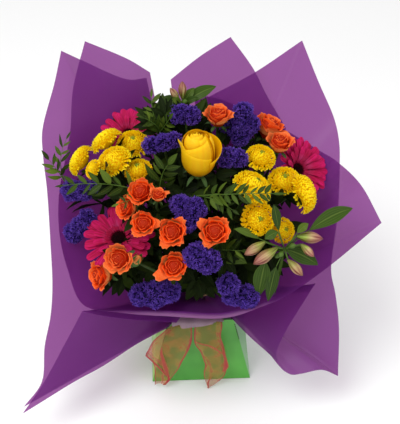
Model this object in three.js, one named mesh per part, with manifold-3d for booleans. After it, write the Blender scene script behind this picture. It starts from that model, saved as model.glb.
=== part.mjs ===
// A hand-tied mixed bouquet, wrapped in purple film and standing in a folded card vase.
// Millimetres, +Z up. The origin is the centre of the card vase's base, and the front faces -Y.
// The stems cross at the tie, stand in a bag of water inside the vase, and carry the blooms
// over a dome. Film sheets fan out from the tie round them, and a ribbon is knotted below.
import * as THREE from 'three';
import { mergeVertices } from 'three/addons/utils/BufferGeometryUtils.js';
import Module from 'manifold-3d';

const wasm = await Module();
wasm.setup();

// Driving dimensions, in millimetres and degrees
const vase = { base: 160, height: 114, topAcross: 138, topFlat: 104, card: 1.2, yaw: 3 };
const tie = { height: 132, bundle: 17, twine: 2.4, offset: 2 };
const water = { radius: 66, height: 92, hole: 26, floor: 18, cutEnds: 12 };
const film = { thick: 0.7, ring: 20.8, ringStep: 1.25, gathered: 128, restsAt: 0.4, rimSteps: 1.4 };
const ribbon = { thick: 0.7, collar: 1.6, band: 7, height: 120.8 };
const clear = 0.3;

const sizes = {
  gerbera: { radius: 54, disc: 11, outer: 19, inner: 12, petal: 10, hub: 7 },
  rose: { radius: 17, height: 27 },
  yellowRose: { radius: 28, height: 68 },
  chrysanthemum: { radius: 24, height: 20 },
  stem: 2,
};

const colours = {
  card: 0x55c83c, film: 0x7d3a8c, ribbon: 0xc8505a, twine: 0xb9a27a, water: 0xdce8ea,
  stem: 0x47692b, leaf: 0x3d6b2a, gerbera: 0xc8196b, gerberaDisc: 0x2b1512, yellowRose: 0xf2cf12,
  rose: 0xf0561c, chrysanthemum: 0xf2c40c, statice: 0x3b2a8c, alstroemeria: 0xb8796a,
};

const V = (x, y, z) => new THREE.Vector3(x, y, z);
const rad = THREE.MathUtils.degToRad;
const up = V(0, 0, 1);
const viewed = V(0, -0.8, 0.6);
const turn = (round, down) => V(Math.sin(rad(down)), 0, Math.cos(rad(down))).applyAxisAngle(up, rad(round));

// Blooms. at is the middle of the head, and face is where it looks: degrees round from +X,
// then degrees down from upright. size scales the kind's own size. A stem goes round through via.
const gerberas = {
  front: { at: [-117, -90, 295], face: [250, 26], size: 1 },
  back: { at: [-113, 38, 393], face: [262, 20], size: 0.77 },
  right: { at: [149, 4, 358], face: [318, 44], size: 0.88 },
};
const yellowRoses = { centre: { at: [-2, -62, 422], face: [270, 5], size: 1 } };
const roses = {
  a: { at: [-81, -100, 384], face: [250, 38], size: 1.02 },
  b: { at: [-101, -108, 364], face: [222, 60], size: 0.92, via: [-52, -62, 300] },
  c: { at: [-57, -114, 388], face: [300, 14], size: 0.62 },
  d: { at: [-77, -138, 358], face: [270, 52], size: 0.96, via: [-48, -84, 300] },
  e: { at: [-38, -142, 347], face: [264, 56], size: 1.06 },
  f: { at: [20, -142, 347], face: [272, 50], size: 1.1 },
  g: { at: [-111, -163, 316], face: [256, 58], size: 1.14, via: [-58, -148, 280] },
  h: { at: [-142, -132, 262], face: [215, 70], size: 1.08 },
  i: { at: [-36, -160, 301], face: [272, 54], size: 1.06 },
  j: { at: [26, 4, 446], face: [280, 8], size: 1.06 },
  k: { at: [103, 42, 407], face: [10, 24], size: 1.28 },
  l: { at: [115, -12, 411], face: [300, 14], size: 1.05 },
};
const chrysanthemums = {
  a: { at: [-139, -8, 416], face: [150, 44], size: 1 },
  b: { at: [-97, -8, 411], face: [262, 14], size: 1.02 },
  c: { at: [-178, -14, 385], face: [168, 62], size: 1 },
  d: { at: [-124, -56, 411], face: [205, 30], size: 1.06 },
  e: { at: [-88, -56, 396], face: [230, 12], size: 0.84 },
  f: { at: [87, -40, 407], face: [300, 18], size: 0.92 },
  g: { at: [76, -90, 390], face: [350, 28], size: 1.2 },
  h: { at: [120, -62, 382], face: [275, 16], size: 1 },
  i: { at: [151, -84, 372], face: [348, 66], size: 1.14 },
  j: { at: [82, -126, 357], face: [285, 58], size: 1 },
  k: { at: [119, -112, 328], face: [310, 50], size: 0.78 },
  l: { at: [-152, -68, 402], face: [200, 56], size: 0.6 },
};
// A statice head is a comb of lobes: each is [x, y, z, radius] about the head's own middle.
const statices = {
  a: { at: [-22, 14, 442], lobes: [[-9, 0, 1, 12], [9, 0, 0, 12]] },
  b: { at: [60, 20, 423], stalk: 34, lobes: [[3, 4, 19, 12], [-15, 0, 0, 14], [12, 0, 0, 14], [0, -6, -18, 12]] },
  c: { at: [-54, -34, 424], lobes: [[-16, 0, -4, 10], [2, 0, 0, 11], [18, 0, 5, 9]] },
  d: { at: [46, -46, 406], lobes: [[-9, 0, 1, 12], [9, 0, -1, 11]] },
  e: { at: [-178, -36, 342], lobes: [[-10, 2, 0, 14], [8, 0, 2, 13], [26, 2, 6, 10]] },
  f: { at: [-176, -50, 292], lobes: [[10, -4, 14, 12], [0, 0, 0, 13], [-12, 2, -16, 13]] },
  g: { at: [-16, -114, 362], stalk: 30, lobes: [[-11, 2, 9, 13], [9, 2, 2, 14], [-2, -6, -12, 14]] },
  h: { at: [2, -156, 312], lobes: [[-7, 0, 5, 16], [9, -2, -4, 16]] },
  i: { at: [-62, -148, 240], lobes: [[-24, 4, -5, 14], [-3, 0, 0, 18], [18, 0, 6, 15], [42, -2, 22, 9]] },
  j: { at: [52, -148, 242], lobes: [[-12, -2, 20, 14], [-4, 0, -2, 15], [16, 0, -6, 16]] },
};
// An alstroemeria umbel: the tip of each bud, and of each leaf with its width, from the hub
const alstroemerias = {
  front: {
    at: [118, -136, 312],
    buds: [[-54, -12, 4], [-44, -28, -2], [53, 8, 13], [38, -14, 0], [15, -28, -14]],
    leaves: [[98, 48, 36, 20], [-34, -6, -66, 21], [-20, -8, -70, 15], [54, -2, -22, 24], [-14, -2, 30, 11]],
  },
  top: {
    at: [-26, 44, 442],
    buds: [[0, 2, 38], [-18, 4, 26]],
    leaves: [[50, 16, 22, 16], [-36, 8, 2, 16], [18, 8, 24, 11]],
  },
};
// A spray of greens grows from root. Each frond is bent from there through bend to tip, with
// pairs of leaflets, and each leaf is broad and plain: its tip and its width.
const greens = {
  left: {
    root: [-58, -74, 350], fronds: [
      { bend: [-100, -98, 406], tip: [-188, -102, 396], pairs: 6, leaflet: 24, bare: 0.4, rise: viewed },
      { bend: [-58, -84, 400], tip: [-44, -84, 418], pairs: 4, leaflet: 26, bare: 0.3, rise: viewed },
    ], leaves: [],
  },
  tips: {
    root: [-202, -12, 346], fronds: [
      { bend: [-208, -14, 362], tip: [-220, -16, 384], pairs: 3, leaflet: 20, rise: viewed },
      { bend: [-212, -2, 376], tip: [-196, 10, 404], pairs: 4, leaflet: 20, rise: viewed },
    ], leaves: [],
  },
  back: {
    root: [-58, 6, 418], fronds: [
      { bend: [-70, 8, 445], tip: [-70, 26, 464], pairs: 5, leaflet: 22 },
    ], leaves: [[-92, 22, 440, 16], [-54, 36, 466, 14]],
  },
  right: {
    root: [-4, -92, 372], fronds: [
      { bend: [36, -134, 404], tip: [98, -134, 404], pairs: 8, leaflet: 22, bare: 0.3, rise: viewed },
    ], leaves: [],
  },
  low: {
    root: [16, -110, 290], fronds: [], leaves: [[66, -138, 288, 24], [44, -130, 330, 20], [-10, -134, 316, 16]],
  },
};

// Film sheets. Each is gathered at the tie, and its free edge runs through these points, a new
// list for each stretch between corners. layer is its place in the gathers, from the stems out.
const sheets = {
  film_inner: {
    layer: 0, edge: [
      [[-77, 125, 455], [-110, 112, 484], [-170, 100, 518]],
      [[-170, 100, 518], [-190, 75, 452], [-196, 45, 392], [-214, 0, 311], [-210, -50, 273],
        [-195, -95, 242], [-171, -137, 212], [-114, -164, 219], [-53, -170, 218], [39, -168, 213],
        [88, -160, 227], [121, -150, 237], [179, -120, 262], [268, -55, 299]],
      [[268, -55, 299], [239, -10, 338], [206, 22, 358], [184, 52, 358], [120, 84, 384], [34, 108, 416],
        [-8, 112, 424]],
    ],
  },
  film_left: {
    layer: 1, edge: [
      [[-84, 142, 437], [-112, 142, 434], [-181, 128, 474], [-208, 110, 498]],
      [[-208, 110, 498], [-219, 90, 456], [-238, 50, 395], [-238, 34, 362], [-233, 9, 315],
        [-228, -35, 252], [-226, -70, 189], [-229, -95, 152], [-236, -130, 122], [-238, -172, 88],
        [-262, -204, 69]],
    ],
  },
  film_back: {
    layer: 1, edge: [
      [[-46, 142, 434], [0, 150, 470], [47, 155, 500]],
      [[47, 155, 500], [82, 135, 457], [104, 120, 418], [134, 90, 376]],
    ],
  },
  film_right: {
    layer: 2, lift: 8, edge: [
      [[13, 180, 383], [85, 185, 423], [158, 160, 492]],
      [[158, 160, 492], [185, 140, 433], [211, 110, 382], [217, 80, 358], [216, 48, 334],
        [212, 0, 274], [200, -60, 213], [206, -82, 186], [212, -107, 144], [213, -140, 69]],
      [[213, -140, 69], [169, -152, 92], [126, -142, 84]],
    ],
  },
  film_wing_left: {
    layer: 2, lift: 2, edge: [
      [[-262, -215, 67], [-234, -193, 98], [-200, -164, 153], [-170, -142, 198], [-138, -137, 178]],
    ],
  },
  film_wing_right: {
    layer: 1, edge: [
      [[162, -112, 214], [168, -121, 238], [144, -133, 195], [127, -141, 162], [113, -147, 122],
        [122, -156, 92]],
    ],
  },
};

// Solids from three.js primitives

// A bare copy of a geometry, with its shared corners welded
function welded(geometry) {
  const g = geometry.clone();
  g.deleteAttribute('normal');
  g.deleteAttribute('uv');
  return mergeVertices(g, 1e-4);
}

// A primitive with every corner moved by a rule
function shaped(primitive, rule) {
  const g = primitive.clone();
  const p = g.getAttribute('position');
  for (let i = 0; i < p.count; i++) {
    const q = rule(p.getX(i), p.getY(i), p.getZ(i));
    p.setXYZ(i, q.x, q.y, q.z);
  }
  return g;
}

// A solid whose faces point out, whichever way the geometry's faces were wound
function solid(geometry) {
  const g = welded(geometry);
  const vertProperties = new Float32Array(g.attributes.position.array);
  const triVerts = new Uint32Array(g.index.array);
  const made = new wasm.Manifold(new wasm.Mesh({ numProp: 3, vertProperties, triVerts }));
  if (made.volume() > 0) return made;
  triVerts.reverse();
  return new wasm.Manifold(new wasm.Mesh({ numProp: 3, vertProperties, triVerts }));
}

function geometryOf(manifold) {
  const { vertProperties, triVerts } = manifold.getMesh();
  const g = new THREE.BufferGeometry();
  g.setAttribute('position', new THREE.BufferAttribute(new Float32Array(vertProperties), 3));
  g.setIndex(new THREE.BufferAttribute(new Uint32Array(triVerts), 1));
  g.computeVertexNormals();
  return g;
}

const facingOut = (geometry) => geometryOf(solid(geometry));

// Overlapping pieces joined in one solid. A scrap that touches nothing is dropped.
function fuse(pieces) {
  const bodies = wasm.Manifold.union(pieces.map(solid)).decompose();
  return geometryOf(bodies.sort((a, b) => b.volume() - a.volume())[0]);
}

// A geometry made round +Z, turned to point along way from a point
function aimed(geometry, from, way) {
  const tilted = new THREE.Quaternion().setFromUnitVectors(up, way);
  return geometry.applyQuaternion(tilted).translate(from.x, from.y, from.z);
}

// A straight rod between two points
function rod(from, to, r0, r1, sides) {
  const length = from.distanceTo(to);
  const upright = new THREE.CylinderGeometry(r1, r0, length, sides, 1).rotateX(Math.PI / 2);
  return aimed(upright.translate(0, 0, length / 2), from, to.clone().sub(from).normalize());
}

// A ring or a vessel turned round the Z axis from its outline
function turned(outline, sectors) {
  const profile = outline.map(([r, z]) => new THREE.Vector2(r, z));
  return new THREE.LatheGeometry(profile, sectors).rotateX(Math.PI / 2);
}

function curve(from, bend, to) {
  return new THREE.QuadraticBezierCurve3(from, bend, to);
}

// Directions across and over a path where it has come to t
function frameAt(path, t, rise) {
  const ahead = path.getTangent(t);
  const across = V().crossVectors(ahead, rise).normalize();
  return { here: path.getPoint(t), ahead, across, over: V().crossVectors(across, ahead).normalize() };
}

// Card vase: four faces that narrow upwards, with a triangle folded in at each corner
function cardVase() {
  const { base, height, topAcross, topFlat, card, yaw } = vase;
  const ring = (z, inset) => {
    const rise = z / height;
    const across = THREE.MathUtils.lerp(base, topAcross, rise) / 2 - inset;
    const flat = Math.min(THREE.MathUtils.lerp(base, topFlat, rise) / 2 - inset * 0.4, across);
    const corners = [];
    for (let side = 0; side < 4; side++) {
      for (const end of [-flat, flat]) corners.push(V(end, -across, z).applyAxisAngle(up, side * Math.PI / 2));
    }
    return corners;
  };
  const levels = [ring(0, 0), ring(height, 0), ring(height, card), ring(card, card)];
  const lathe = new THREE.LatheGeometry([[0, 0], [1, 0], [1, 1], [0.9, 1], [0.9, 0.1], [0, 0.1]]
    .map(([x, y]) => new THREE.Vector2(x, y)), 8);
  const p = lathe.getAttribute('position');
  for (let i = 0; i < p.count; i++) {
    const level = i % 6;
    const corner = Math.floor(i / 6) % 8;
    const q = level === 0 ? V(0, 0, 0) : level === 5 ? V(0, 0, card) : levels[level - 1][corner];
    p.setXYZ(i, q.x, q.y, q.z);
  }
  return facingOut(lathe.rotateZ(rad(yaw)));
}

// The water bag that fills the vase, with one plain hole that the cut stems stand in
function waterBag() {
  const { radius, height, hole, floor } = water;
  return facingOut(turned([
    [0, vase.card + clear], [radius - 8, vase.card + clear], [radius, 12], [radius, height - 22],
    [radius * 0.62, height - 4], [hole + 4, height], [hole, height], [hole, floor], [0, floor],
  ], 12));
}

function twine() {
  const inner = tie.bundle + clear;
  const outer = inner + tie.twine;
  const low = tie.height - 8;
  return facingOut(turned([[inner, low], [outer, low + 1], [outer, low + 7], [inner, low + 8], [inner, low]], 10));
}

// Blooms, each with its seat at the origin and its face towards +Z

// A head turned from rows of [radius, height], whose rims are then drawn into petals where a row
// also has [depth, phase]: the rim falls back between the petals, and odd phases sit in the gaps.
function petalled(rows, radius, height, petals, sectors) {
  const head = turned(rows.map(([r, z]) => [r * radius, z * height]), sectors);
  const p = head.getAttribute('position');
  for (let i = 0; i < p.count; i++) {
    const [, , depth = 0, phase = 0] = rows[i % rows.length];
    const angle = Math.PI * 2 * Math.floor(i / rows.length) / sectors;
    const fall = depth * (1 - Math.cos(petals * angle + phase * Math.PI)) / 2;
    p.setXYZ(i, p.getX(i) * (1 - fall), p.getY(i) * (1 - fall), p.getZ(i) - height * 0.35 * fall);
  }
  return facingOut(head);
}

function roseHead(size) {
  const { radius, height } = sizes.rose;
  return petalled([[0, 0], [0.34, 0], [0.84, 0.3], [1.04, 0.74, 0.2, 0], [0.8, 0.6], [0.74, 0.92, 0.22, 1],
    [0.56, 0.72], [0.42, 1, 0.25, 0], [0.24, 0.84], [0, 0.98]], radius * size, height * size, 5, 10);
}

function yellowRoseHead(size) {
  const { radius, height } = sizes.yellowRose;
  return petalled([[0, 0], [0.3, 0], [0.7, 0.1], [0.92, 0.32], [0.98, 0.6], [1.1, 0.82, 0.2, 0], [0.8, 0.66],
    [0.74, 0.93, 0.12, 1], [0.58, 0.76], [0.52, 1, 0.14, 0], [0.28, 0.86], [0, 0.96]],
  radius * size, height * size, 5, 15);
}

function chrysanthemumHead(size) {
  const { radius, height } = sizes.chrysanthemum;
  return petalled([[0, 0], [0.3, 0], [1, 0.26, 0.16, 0], [0.78, 0.48], [0.86, 0.64, 0.18, 1],
    [0.54, 0.8], [0.5, 1, 0.3, 0], [0, 0.92]], radius * size, height * size, 8, 16);
}

// A ring of petals is cut as one outline, then cupped: z rises from foot to tip.
function petalRing(count, length, width, foot, tip, shift) {
  const inner = 11;
  const outline = [];
  for (let k = 0; k < count; k++) {
    const a = (k + shift) * Math.PI * 2 / count;
    const at = (r, off) => new THREE.Vector2(r, off).rotateAround(new THREE.Vector2(), a);
    outline.push(at(inner, -Math.PI * inner / count * 0.9), at(length * 0.72, -width / 2),
      at(length * 0.97, -width / 4), at(length * 0.97, width / 4), at(length * 0.72, width / 2));
  }
  const flat = new THREE.ExtrudeGeometry(new THREE.Shape(outline), { depth: 1, bevelEnabled: false });
  return shaped(flat, (x, y, z) => {
    const out = Math.max(Math.hypot(x, y) - inner, 0) / (length - inner);
    return V(x, y, foot + z + (tip - foot) * out * (2 - out));
  });
}

function gerberaPetals(size) {
  const { radius, outer, inner, petal, hub } = sizes.gerbera;
  return fuse([
    turned([[0, 0], [5, 0], [12, hub], [0, hub]], 10),
    petalRing(outer, radius, petal, 2.4, 11, 0),
    petalRing(inner, radius * 0.64, petal, 4.6, 17, 0.5),
  ]).scale(size, size, size);
}

function gerberaDisc(size) {
  const { disc, hub } = sizes.gerbera;
  const button = [[0, 0], [0.9, 0], [1, 0.4, 0.1, 0], [0.72, 0.9], [0.5, 0.8], [0.3, 1], [0, 0.8]];
  return petalled(button, disc, 5, 6, 12).translate(0, 0, hub + clear).scale(size, size, size);
}

// Florets cover a statice lobe: each corner stands out as one, but for the solid's first twelve.
function staticeHead(lobes, way, stalk) {
  const pieces = lobes.map(([x, y, z, r], n) => shaped(new THREE.IcosahedronGeometry(1, 1), (u, v, w) => {
    const corner = V(u, v, w);
    const zeros = [u, v, w].filter((c) => Math.abs(c) < 0.01).length;
    return corner.multiplyScalar(r * (zeros === 1 ? 0.74 : 1.12)).applyAxisAngle(up, n).add(V(x, y, z));
  }));
  pieces.push(rod(V(), way.clone().multiplyScalar(-stalk), 1.6, 1.6, 4));
  return fuse(pieces);
}

function alstroemeriaHead({ buds, leaves }, way, stalk) {
  const pieces = [new THREE.SphereGeometry(4, 6, 4), rod(V(), way.clone().multiplyScalar(-stalk), 1.6, 1.6, 4)];
  for (const tip of buds.map((b) => V(...b))) {
    const long = Math.min(tip.length() * 0.72, 36);
    const swell = [[0, 0], [2, 0.05], [6, 0.3], [8.4, 0.58], [5.6, 0.86], [0, 1]];
    const foot = tip.clone().setLength(tip.length() - long);
    pieces.push(rod(V(), foot.clone().setLength(foot.length() + 2), 1.3, 1.3, 4));
    const bud = turned(swell, 6).scale(long / 36, long / 36, long);
    pieces.push(aimed(bud, foot, tip.clone().normalize()));
  }
  for (const [x, y, z, width] of leaves) pieces.push(leafBlade(V(), V(x, y, z), width));
  return fuse(pieces);
}

// Foliage

// A leaf is a three-sided blade that turns its face to the front: narrow at its foot, widest half
// way, and pointed.
function leafBlade(from, to, width) {
  const bend = from.clone().lerp(to, 0.5).addScaledVector(up, from.distanceTo(to) * 0.14);
  const path = curve(from, bend, to);
  return shaped(new THREE.ConeGeometry(1, 1, 3, 4), (x, y, z) => {
    const t = Math.min(y + 0.5, 1);
    const { here, across, over } = frameAt(path, t, viewed);
    const share = t < 0.5 ? 0.35 + 1.3 * t : 1 - 3 * (t - 0.5) ** 2;
    const unshrunk = t < 1 ? 1 / (1 - t) : 0;
    here.addScaledVector(across, x * width * 0.58 * share * unshrunk);
    return here.addScaledVector(over, z * unshrunk);
  });
}

// A frond is cut as one outline, with leaflets down to the rib, and bent along its path.
function frondBlade(path, { pairs, leaflet, bare = 0.22, rise = up }) {
  const length = path.getLength();
  const pitch = length * (1 - bare) / (pairs + 0.6);
  const rib = 0.9;
  const side = (s) => {
    const points = [];
    for (let k = 0; k < pairs; k++) {
      const foot = length * bare + pitch * k;
      const out = leaflet * (1 - 0.4 * k / pairs);
      points.push([foot, s * rib], [foot + out * 0.22, s * out * 0.5], [foot + out * 0.62, s * out],
        [foot + pitch * 0.62, s * rib]);
    }
    return points;
  };
  const outline = [[0, rib], ...side(1), [length, 0], ...side(-1).reverse(), [0, -rib]];
  const shape = new THREE.Shape(outline.map(([x, y]) => new THREE.Vector2(x, y)));
  const flat = new THREE.ExtrudeGeometry(shape, { depth: 0.9, bevelEnabled: false });
  return shaped(flat, (x, y, z) => {
    const { here, across, over } = frameAt(path, x / length, rise);
    return here.addScaledVector(across, y).addScaledVector(over, z - y * y / leaflet * 0.25);
  });
}

function greenSpray({ root, fronds, leaves }, way, stalk) {
  const foot = V(...root);
  const pieces = [new THREE.SphereGeometry(2.2, 6, 4).translate(foot.x, foot.y, foot.z)];
  for (const f of fronds) pieces.push(frondBlade(curve(foot, V(...f.bend), V(...f.tip)), f));
  for (const [x, y, z, width] of leaves) pieces.push(leafBlade(foot, V(x, y, z), width));
  pieces.push(rod(foot, foot.clone().addScaledVector(way, -stalk), 1.6, 1.6, 4));
  return facingOut(fuse(pieces).translate(-foot.x, -foot.y, -foot.z));
}

// Film and ribbon

// A flat box for a thin sheet. Its two broad faces are split along the same diagonals, so that
// they stay apart wherever the sheet is bent.
function flatBox(width, length, columns, rows) {
  const box = new THREE.BoxGeometry(width, length, 1, columns, rows, 1);
  const under = box.groups[5];
  const corners = box.getIndex().array;
  for (let i = under.start; i < under.start + under.count; i += 6) {
    const [a, b, d, , c] = corners.slice(i, i + 6);
    corners.set([a, b, c, a, c, d], i);
  }
  return box;
}

// A sheet of film: lines from its place in the gathers out to its free edge, which lift makes
// arch over the rim of the vase
function filmSheet({ layer, lift = 0, edge }) {
  const rim = [];
  for (const stretch of edge) {
    const path = new THREE.CatmullRomCurve3(stretch.map((p) => V(...p)), false, 'centripetal');
    const points = path.getPoints(Math.round((stretch.length - 1) * film.rimSteps));
    rim.push(...points.slice(rim.length ? 1 : 0));
  }
  const radius = film.ring + layer * film.ringStep;
  const neck = rim.map((p) => V(p.x, p.y, 0).setLength(radius).setZ(film.gathered - layer * film.ringStep));
  const last = rim.length - 1;
  const normals = rim.map((point, i) => {
    const along = rim[Math.min(i + 1, last)].clone().sub(rim[Math.max(i - 1, 0)]);
    return along.cross(point.clone().sub(neck[i])).normalize();
  });
  return facingOut(shaped(flatBox(last, 2, last, 2), (x, y, z) => {
    const i = Math.round(x + last / 2);
    const t = [0, film.restsAt, 1][Math.round(y + 1)];
    const lifted = y === 0 ? lift : 0;
    return neck[i].clone().lerp(rim[i], t).addScaledVector(normals[i], z * film.thick).add(V(0, 0, lifted));
  }));
}

// A flat strip through stations of [x, y, z, half-width across X, half-width up Z]
function strip(stations, thick) {
  const last = stations.length - 1;
  const middle = (k) => V(...stations[THREE.MathUtils.clamp(k, 0, last)].slice(0, 3));
  return shaped(flatBox(1, last, 1, last), (x, y, z) => {
    const k = Math.round(y + last / 2);
    const half = V(stations[k][3], 0, stations[k][4] ?? 0);
    const normal = V().crossVectors(middle(k + 1).sub(middle(k - 1)), half).normalize();
    return middle(k).addScaledVector(half, x * 2).addScaledVector(normal, z * thick);
  });
}

function ribbonBow() {
  const inner = film.ring + 3 * film.ringStep;
  const outer = inner + ribbon.collar;
  const z = ribbon.height;
  const [low, high] = [z - ribbon.band / 2, z + ribbon.band / 2];
  const front = -inner - 5;
  const collar = turned([[inner, low], [outer, low], [outer, high], [inner, high], [inner, low]], 14);
  const knot = new THREE.BoxGeometry(13, 9, ribbon.band).translate(0, front + 1, z);
  const tails = [
    [[-2, front, z, 5], [-20, -76, z + 1, 20], [-37, -83, 112, 20], [-47, -88, 84, 30, 4],
      [-57, -91, 62, 28, 8], [-56, -94, 44, 19, 6], [-63, -97, 22, 10], [-67, -99, 8, 6]],
    [[2, front, z, 5], [8, -76, z + 1, 18], [11, -83, 112, 21], [13, -88, 84, 21, -3],
      [20, -91, 62, 19, 3], [23, -94, 44, 17, 5], [21, -97, 22, 14, 3], [13, -99, 6, 3]],
  ];
  const loop = (s) => [[s * 3, front, z, 0, 4], [s * 16, front - 10, z - 2, 0, 8], [s * 30, front - 21, z - 3, 0, 8],
    [s * 27, front - 27, z - 4, 0, 8], [s * 12, front - 14, z - 4, 0, 7], [s * 2, front - 2, z - 2, 0, 4]];
  const strips = [...tails, loop(-1), loop(1)].map((stations) => strip(stations, ribbon.thick));
  return fuse([collar, knot, ...strips]);
}

// A short tongue of film that hangs out of the gathers over the front of the vase
function filmTongue() {
  return facingOut(strip([
    [0, -film.ring - 1.2, film.gathered - 1, 6], [0, -44, 133, 15], [-3, -72, 138, 32], [-3, -92, 138, 40],
    [-3, -99, 132, 39],
  ], film.thick));
}

// Every head and spray is carried by a branch of the stems that ends at its seat.
const seats = [];

function piece(name, colour, geometry, at = V(), way = up) {
  const material = new THREE.MeshStandardMaterial({ color: colour, roughness: 0.6, metalness: 0 });
  const mesh = new THREE.Mesh(geometry, material);
  mesh.name = name;
  mesh.position.copy(at);
  mesh.quaternion.setFromUnitVectors(up, way);
  return mesh;
}

function head(name, colour, geometry, { at, face, size, via }, depth) {
  const way = turn(...face);
  const seat = V(...at).addScaledVector(way, -depth * size / 2);
  seats.push({ seat, way, calyx: 4.5 * size, via });
  return piece(name, colour, geometry, seat, way);
}

// A head or spray with a stalk of its own, which points at the middle of the bunch
function stalked(name, colour, at, stalk, build) {
  const middle = V(...at);
  const way = middle.clone().sub(V(0, 0, tie.height + 50)).normalize();
  seats.push({ seat: middle.clone().addScaledVector(way, -stalk), way, calyx: 1.8 });
  return piece(name, colour, build(way, stalk), middle);
}

// The stems: cut ends in the water, one crossing at the tie, and a branch to each seat
function stemBunch() {
  const z = tie.height;
  const b = tie.bundle;
  const pieces = [turned([[0, z - 16], [b, z - 16], [b, z + 8], [b * 2, z + 56], [0, z + 56]], 10)];
  for (let k = 0; k < water.cutEnds; k++) {
    const a = k * Math.PI * 2 / water.cutEnds;
    const top = V(b * 0.7, 0, z - 10).applyAxisAngle(up, a);
    const foot = V(20, 0, water.floor + 0.8 + 3 * (k % 3)).applyAxisAngle(up, a + 0.9);
    pieces.push(rod(foot, top, 3, 3, 4));
  }
  for (const { seat, way, calyx, via } of seats) {
    const back = (d) => seat.clone().addScaledVector(way, -d - clear);
    const route = via ? [V(...via)] : [];
    const root = V(seat.x * 0.1, seat.y * 0.1, z + 46);
    const rings = [root, ...route, back(calyx * 1.6 + 12), back(calyx * 1.6), back(0)];
    const radii = rings.map((_, k) => (k < rings.length - 1 ? sizes.stem : calyx));
    const last = rings.length - 1;
    const tilted = new THREE.Quaternion().setFromUnitVectors(up, way);
    pieces.push(shaped(new THREE.CylinderGeometry(1, 1, last, 3, last), (x, y, w) => {
      const k = Math.round(y + last / 2);
      return V(x * radii[k], -w * radii[k], 0).applyQuaternion(tilted).add(rings[k]);
    }));
  }
  return fuse(pieces);
}

const bunch = new THREE.Group();
bunch.position.x = tie.offset;

bunch.add(piece('binding_twine', colours.twine, twine()));
for (const [name, sheet] of Object.entries(sheets)) bunch.add(piece(name, colours.film, filmSheet(sheet)));
bunch.add(piece('film_tongue', colours.film, filmTongue()));
bunch.add(piece('ribbon_bow', colours.ribbon, ribbonBow()));

for (const [name, g] of Object.entries(gerberas)) {
  const petals = head('gerbera_petals_' + name, colours.gerbera, gerberaPetals(g.size), g, sizes.gerbera.hub);
  const button = gerberaDisc(g.size);
  const disc = piece('gerbera_disc_' + name, colours.gerberaDisc, button, petals.position, turn(...g.face));
  bunch.add(petals, disc);
}
for (const [name, r] of Object.entries(yellowRoses)) {
  bunch.add(head('yellow_rose_' + name, colours.yellowRose, yellowRoseHead(r.size), r, sizes.yellowRose.height));
}
for (const [name, r] of Object.entries(roses)) {
  bunch.add(head('spray_rose_' + name, colours.rose, roseHead(r.size), r, sizes.rose.height));
}
for (const [name, c] of Object.entries(chrysanthemums)) {
  const h = chrysanthemumHead(c.size);
  bunch.add(head('chrysanthemum_' + name, colours.chrysanthemum, h, c, sizes.chrysanthemum.height));
}
for (const [name, { at, stalk = 20, lobes }] of Object.entries(statices)) {
  const build = (way, length) => staticeHead(lobes, way, length);
  bunch.add(stalked('statice_' + name, colours.statice, at, stalk, build));
}
for (const [name, a] of Object.entries(alstroemerias)) {
  const build = (way, length) => alstroemeriaHead(a, way, length);
  bunch.add(stalked('alstroemeria_' + name, colours.alstroemeria, a.at, 14, build));
}
for (const [name, g] of Object.entries(greens)) {
  const build = (way, length) => greenSpray(g, way, length);
  bunch.add(stalked('greens_' + name, colours.leaf, g.root, 10, build));
}
bunch.add(piece('stems', colours.stem, stemBunch()));

const bouquet = new THREE.Group();
bouquet.add(piece('card_vase', colours.card, cardVase()), piece('water_bag', colours.water, waterBag()), bunch);

export default bouquet;
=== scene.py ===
import math
import random

import bmesh
import bpy
from mathutils import Matrix, Vector, noise


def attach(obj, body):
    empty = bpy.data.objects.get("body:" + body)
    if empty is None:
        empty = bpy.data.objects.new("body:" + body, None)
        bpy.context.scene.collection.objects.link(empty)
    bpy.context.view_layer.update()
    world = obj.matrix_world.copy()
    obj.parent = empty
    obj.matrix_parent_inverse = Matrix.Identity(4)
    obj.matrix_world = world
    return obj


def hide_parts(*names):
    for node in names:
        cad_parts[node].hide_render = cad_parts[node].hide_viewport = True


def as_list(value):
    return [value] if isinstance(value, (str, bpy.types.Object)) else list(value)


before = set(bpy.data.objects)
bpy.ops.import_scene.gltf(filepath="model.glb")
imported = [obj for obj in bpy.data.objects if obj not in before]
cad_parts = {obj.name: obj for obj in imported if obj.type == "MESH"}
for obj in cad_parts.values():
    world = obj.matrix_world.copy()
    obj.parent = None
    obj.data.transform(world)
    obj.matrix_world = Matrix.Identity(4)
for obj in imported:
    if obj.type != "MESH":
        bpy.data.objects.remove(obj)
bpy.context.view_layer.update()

mm = 0.001  # every length below is in millimetres, and each piece is brought to metres at its end
bunchOffset = 2  # the bunch stands this far to the right of the vase's middle
gathers = 132  # height of the tie
stemFan = Vector((0, 0, gathers + 50))  # stalks point at the middle of the bunch
up = Vector((0, 0, 1))
viewed = Vector((0, -0.8, 0.6))  # from the blooms towards the camera
pictureRight = Vector((1, 0, 0))
pictureUp = Vector((0, 0.574, 0.819))  # upwards in the picture
goldenAngle = 2.39996  # radians from one floret of a spiral to the next
petalTurn = 2.4  # radians from one wound petal, or one leaf of a stalk, to the next


# Colour and nodes

def srgb(code):
    parts = [int(code[i:i + 2], 16) / 255 for i in (1, 3, 5)]
    return (*[c / 12.92 if c <= 0.04045 else ((c + 0.055) / 1.055) ** 2.4 for c in parts], 1)


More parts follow.
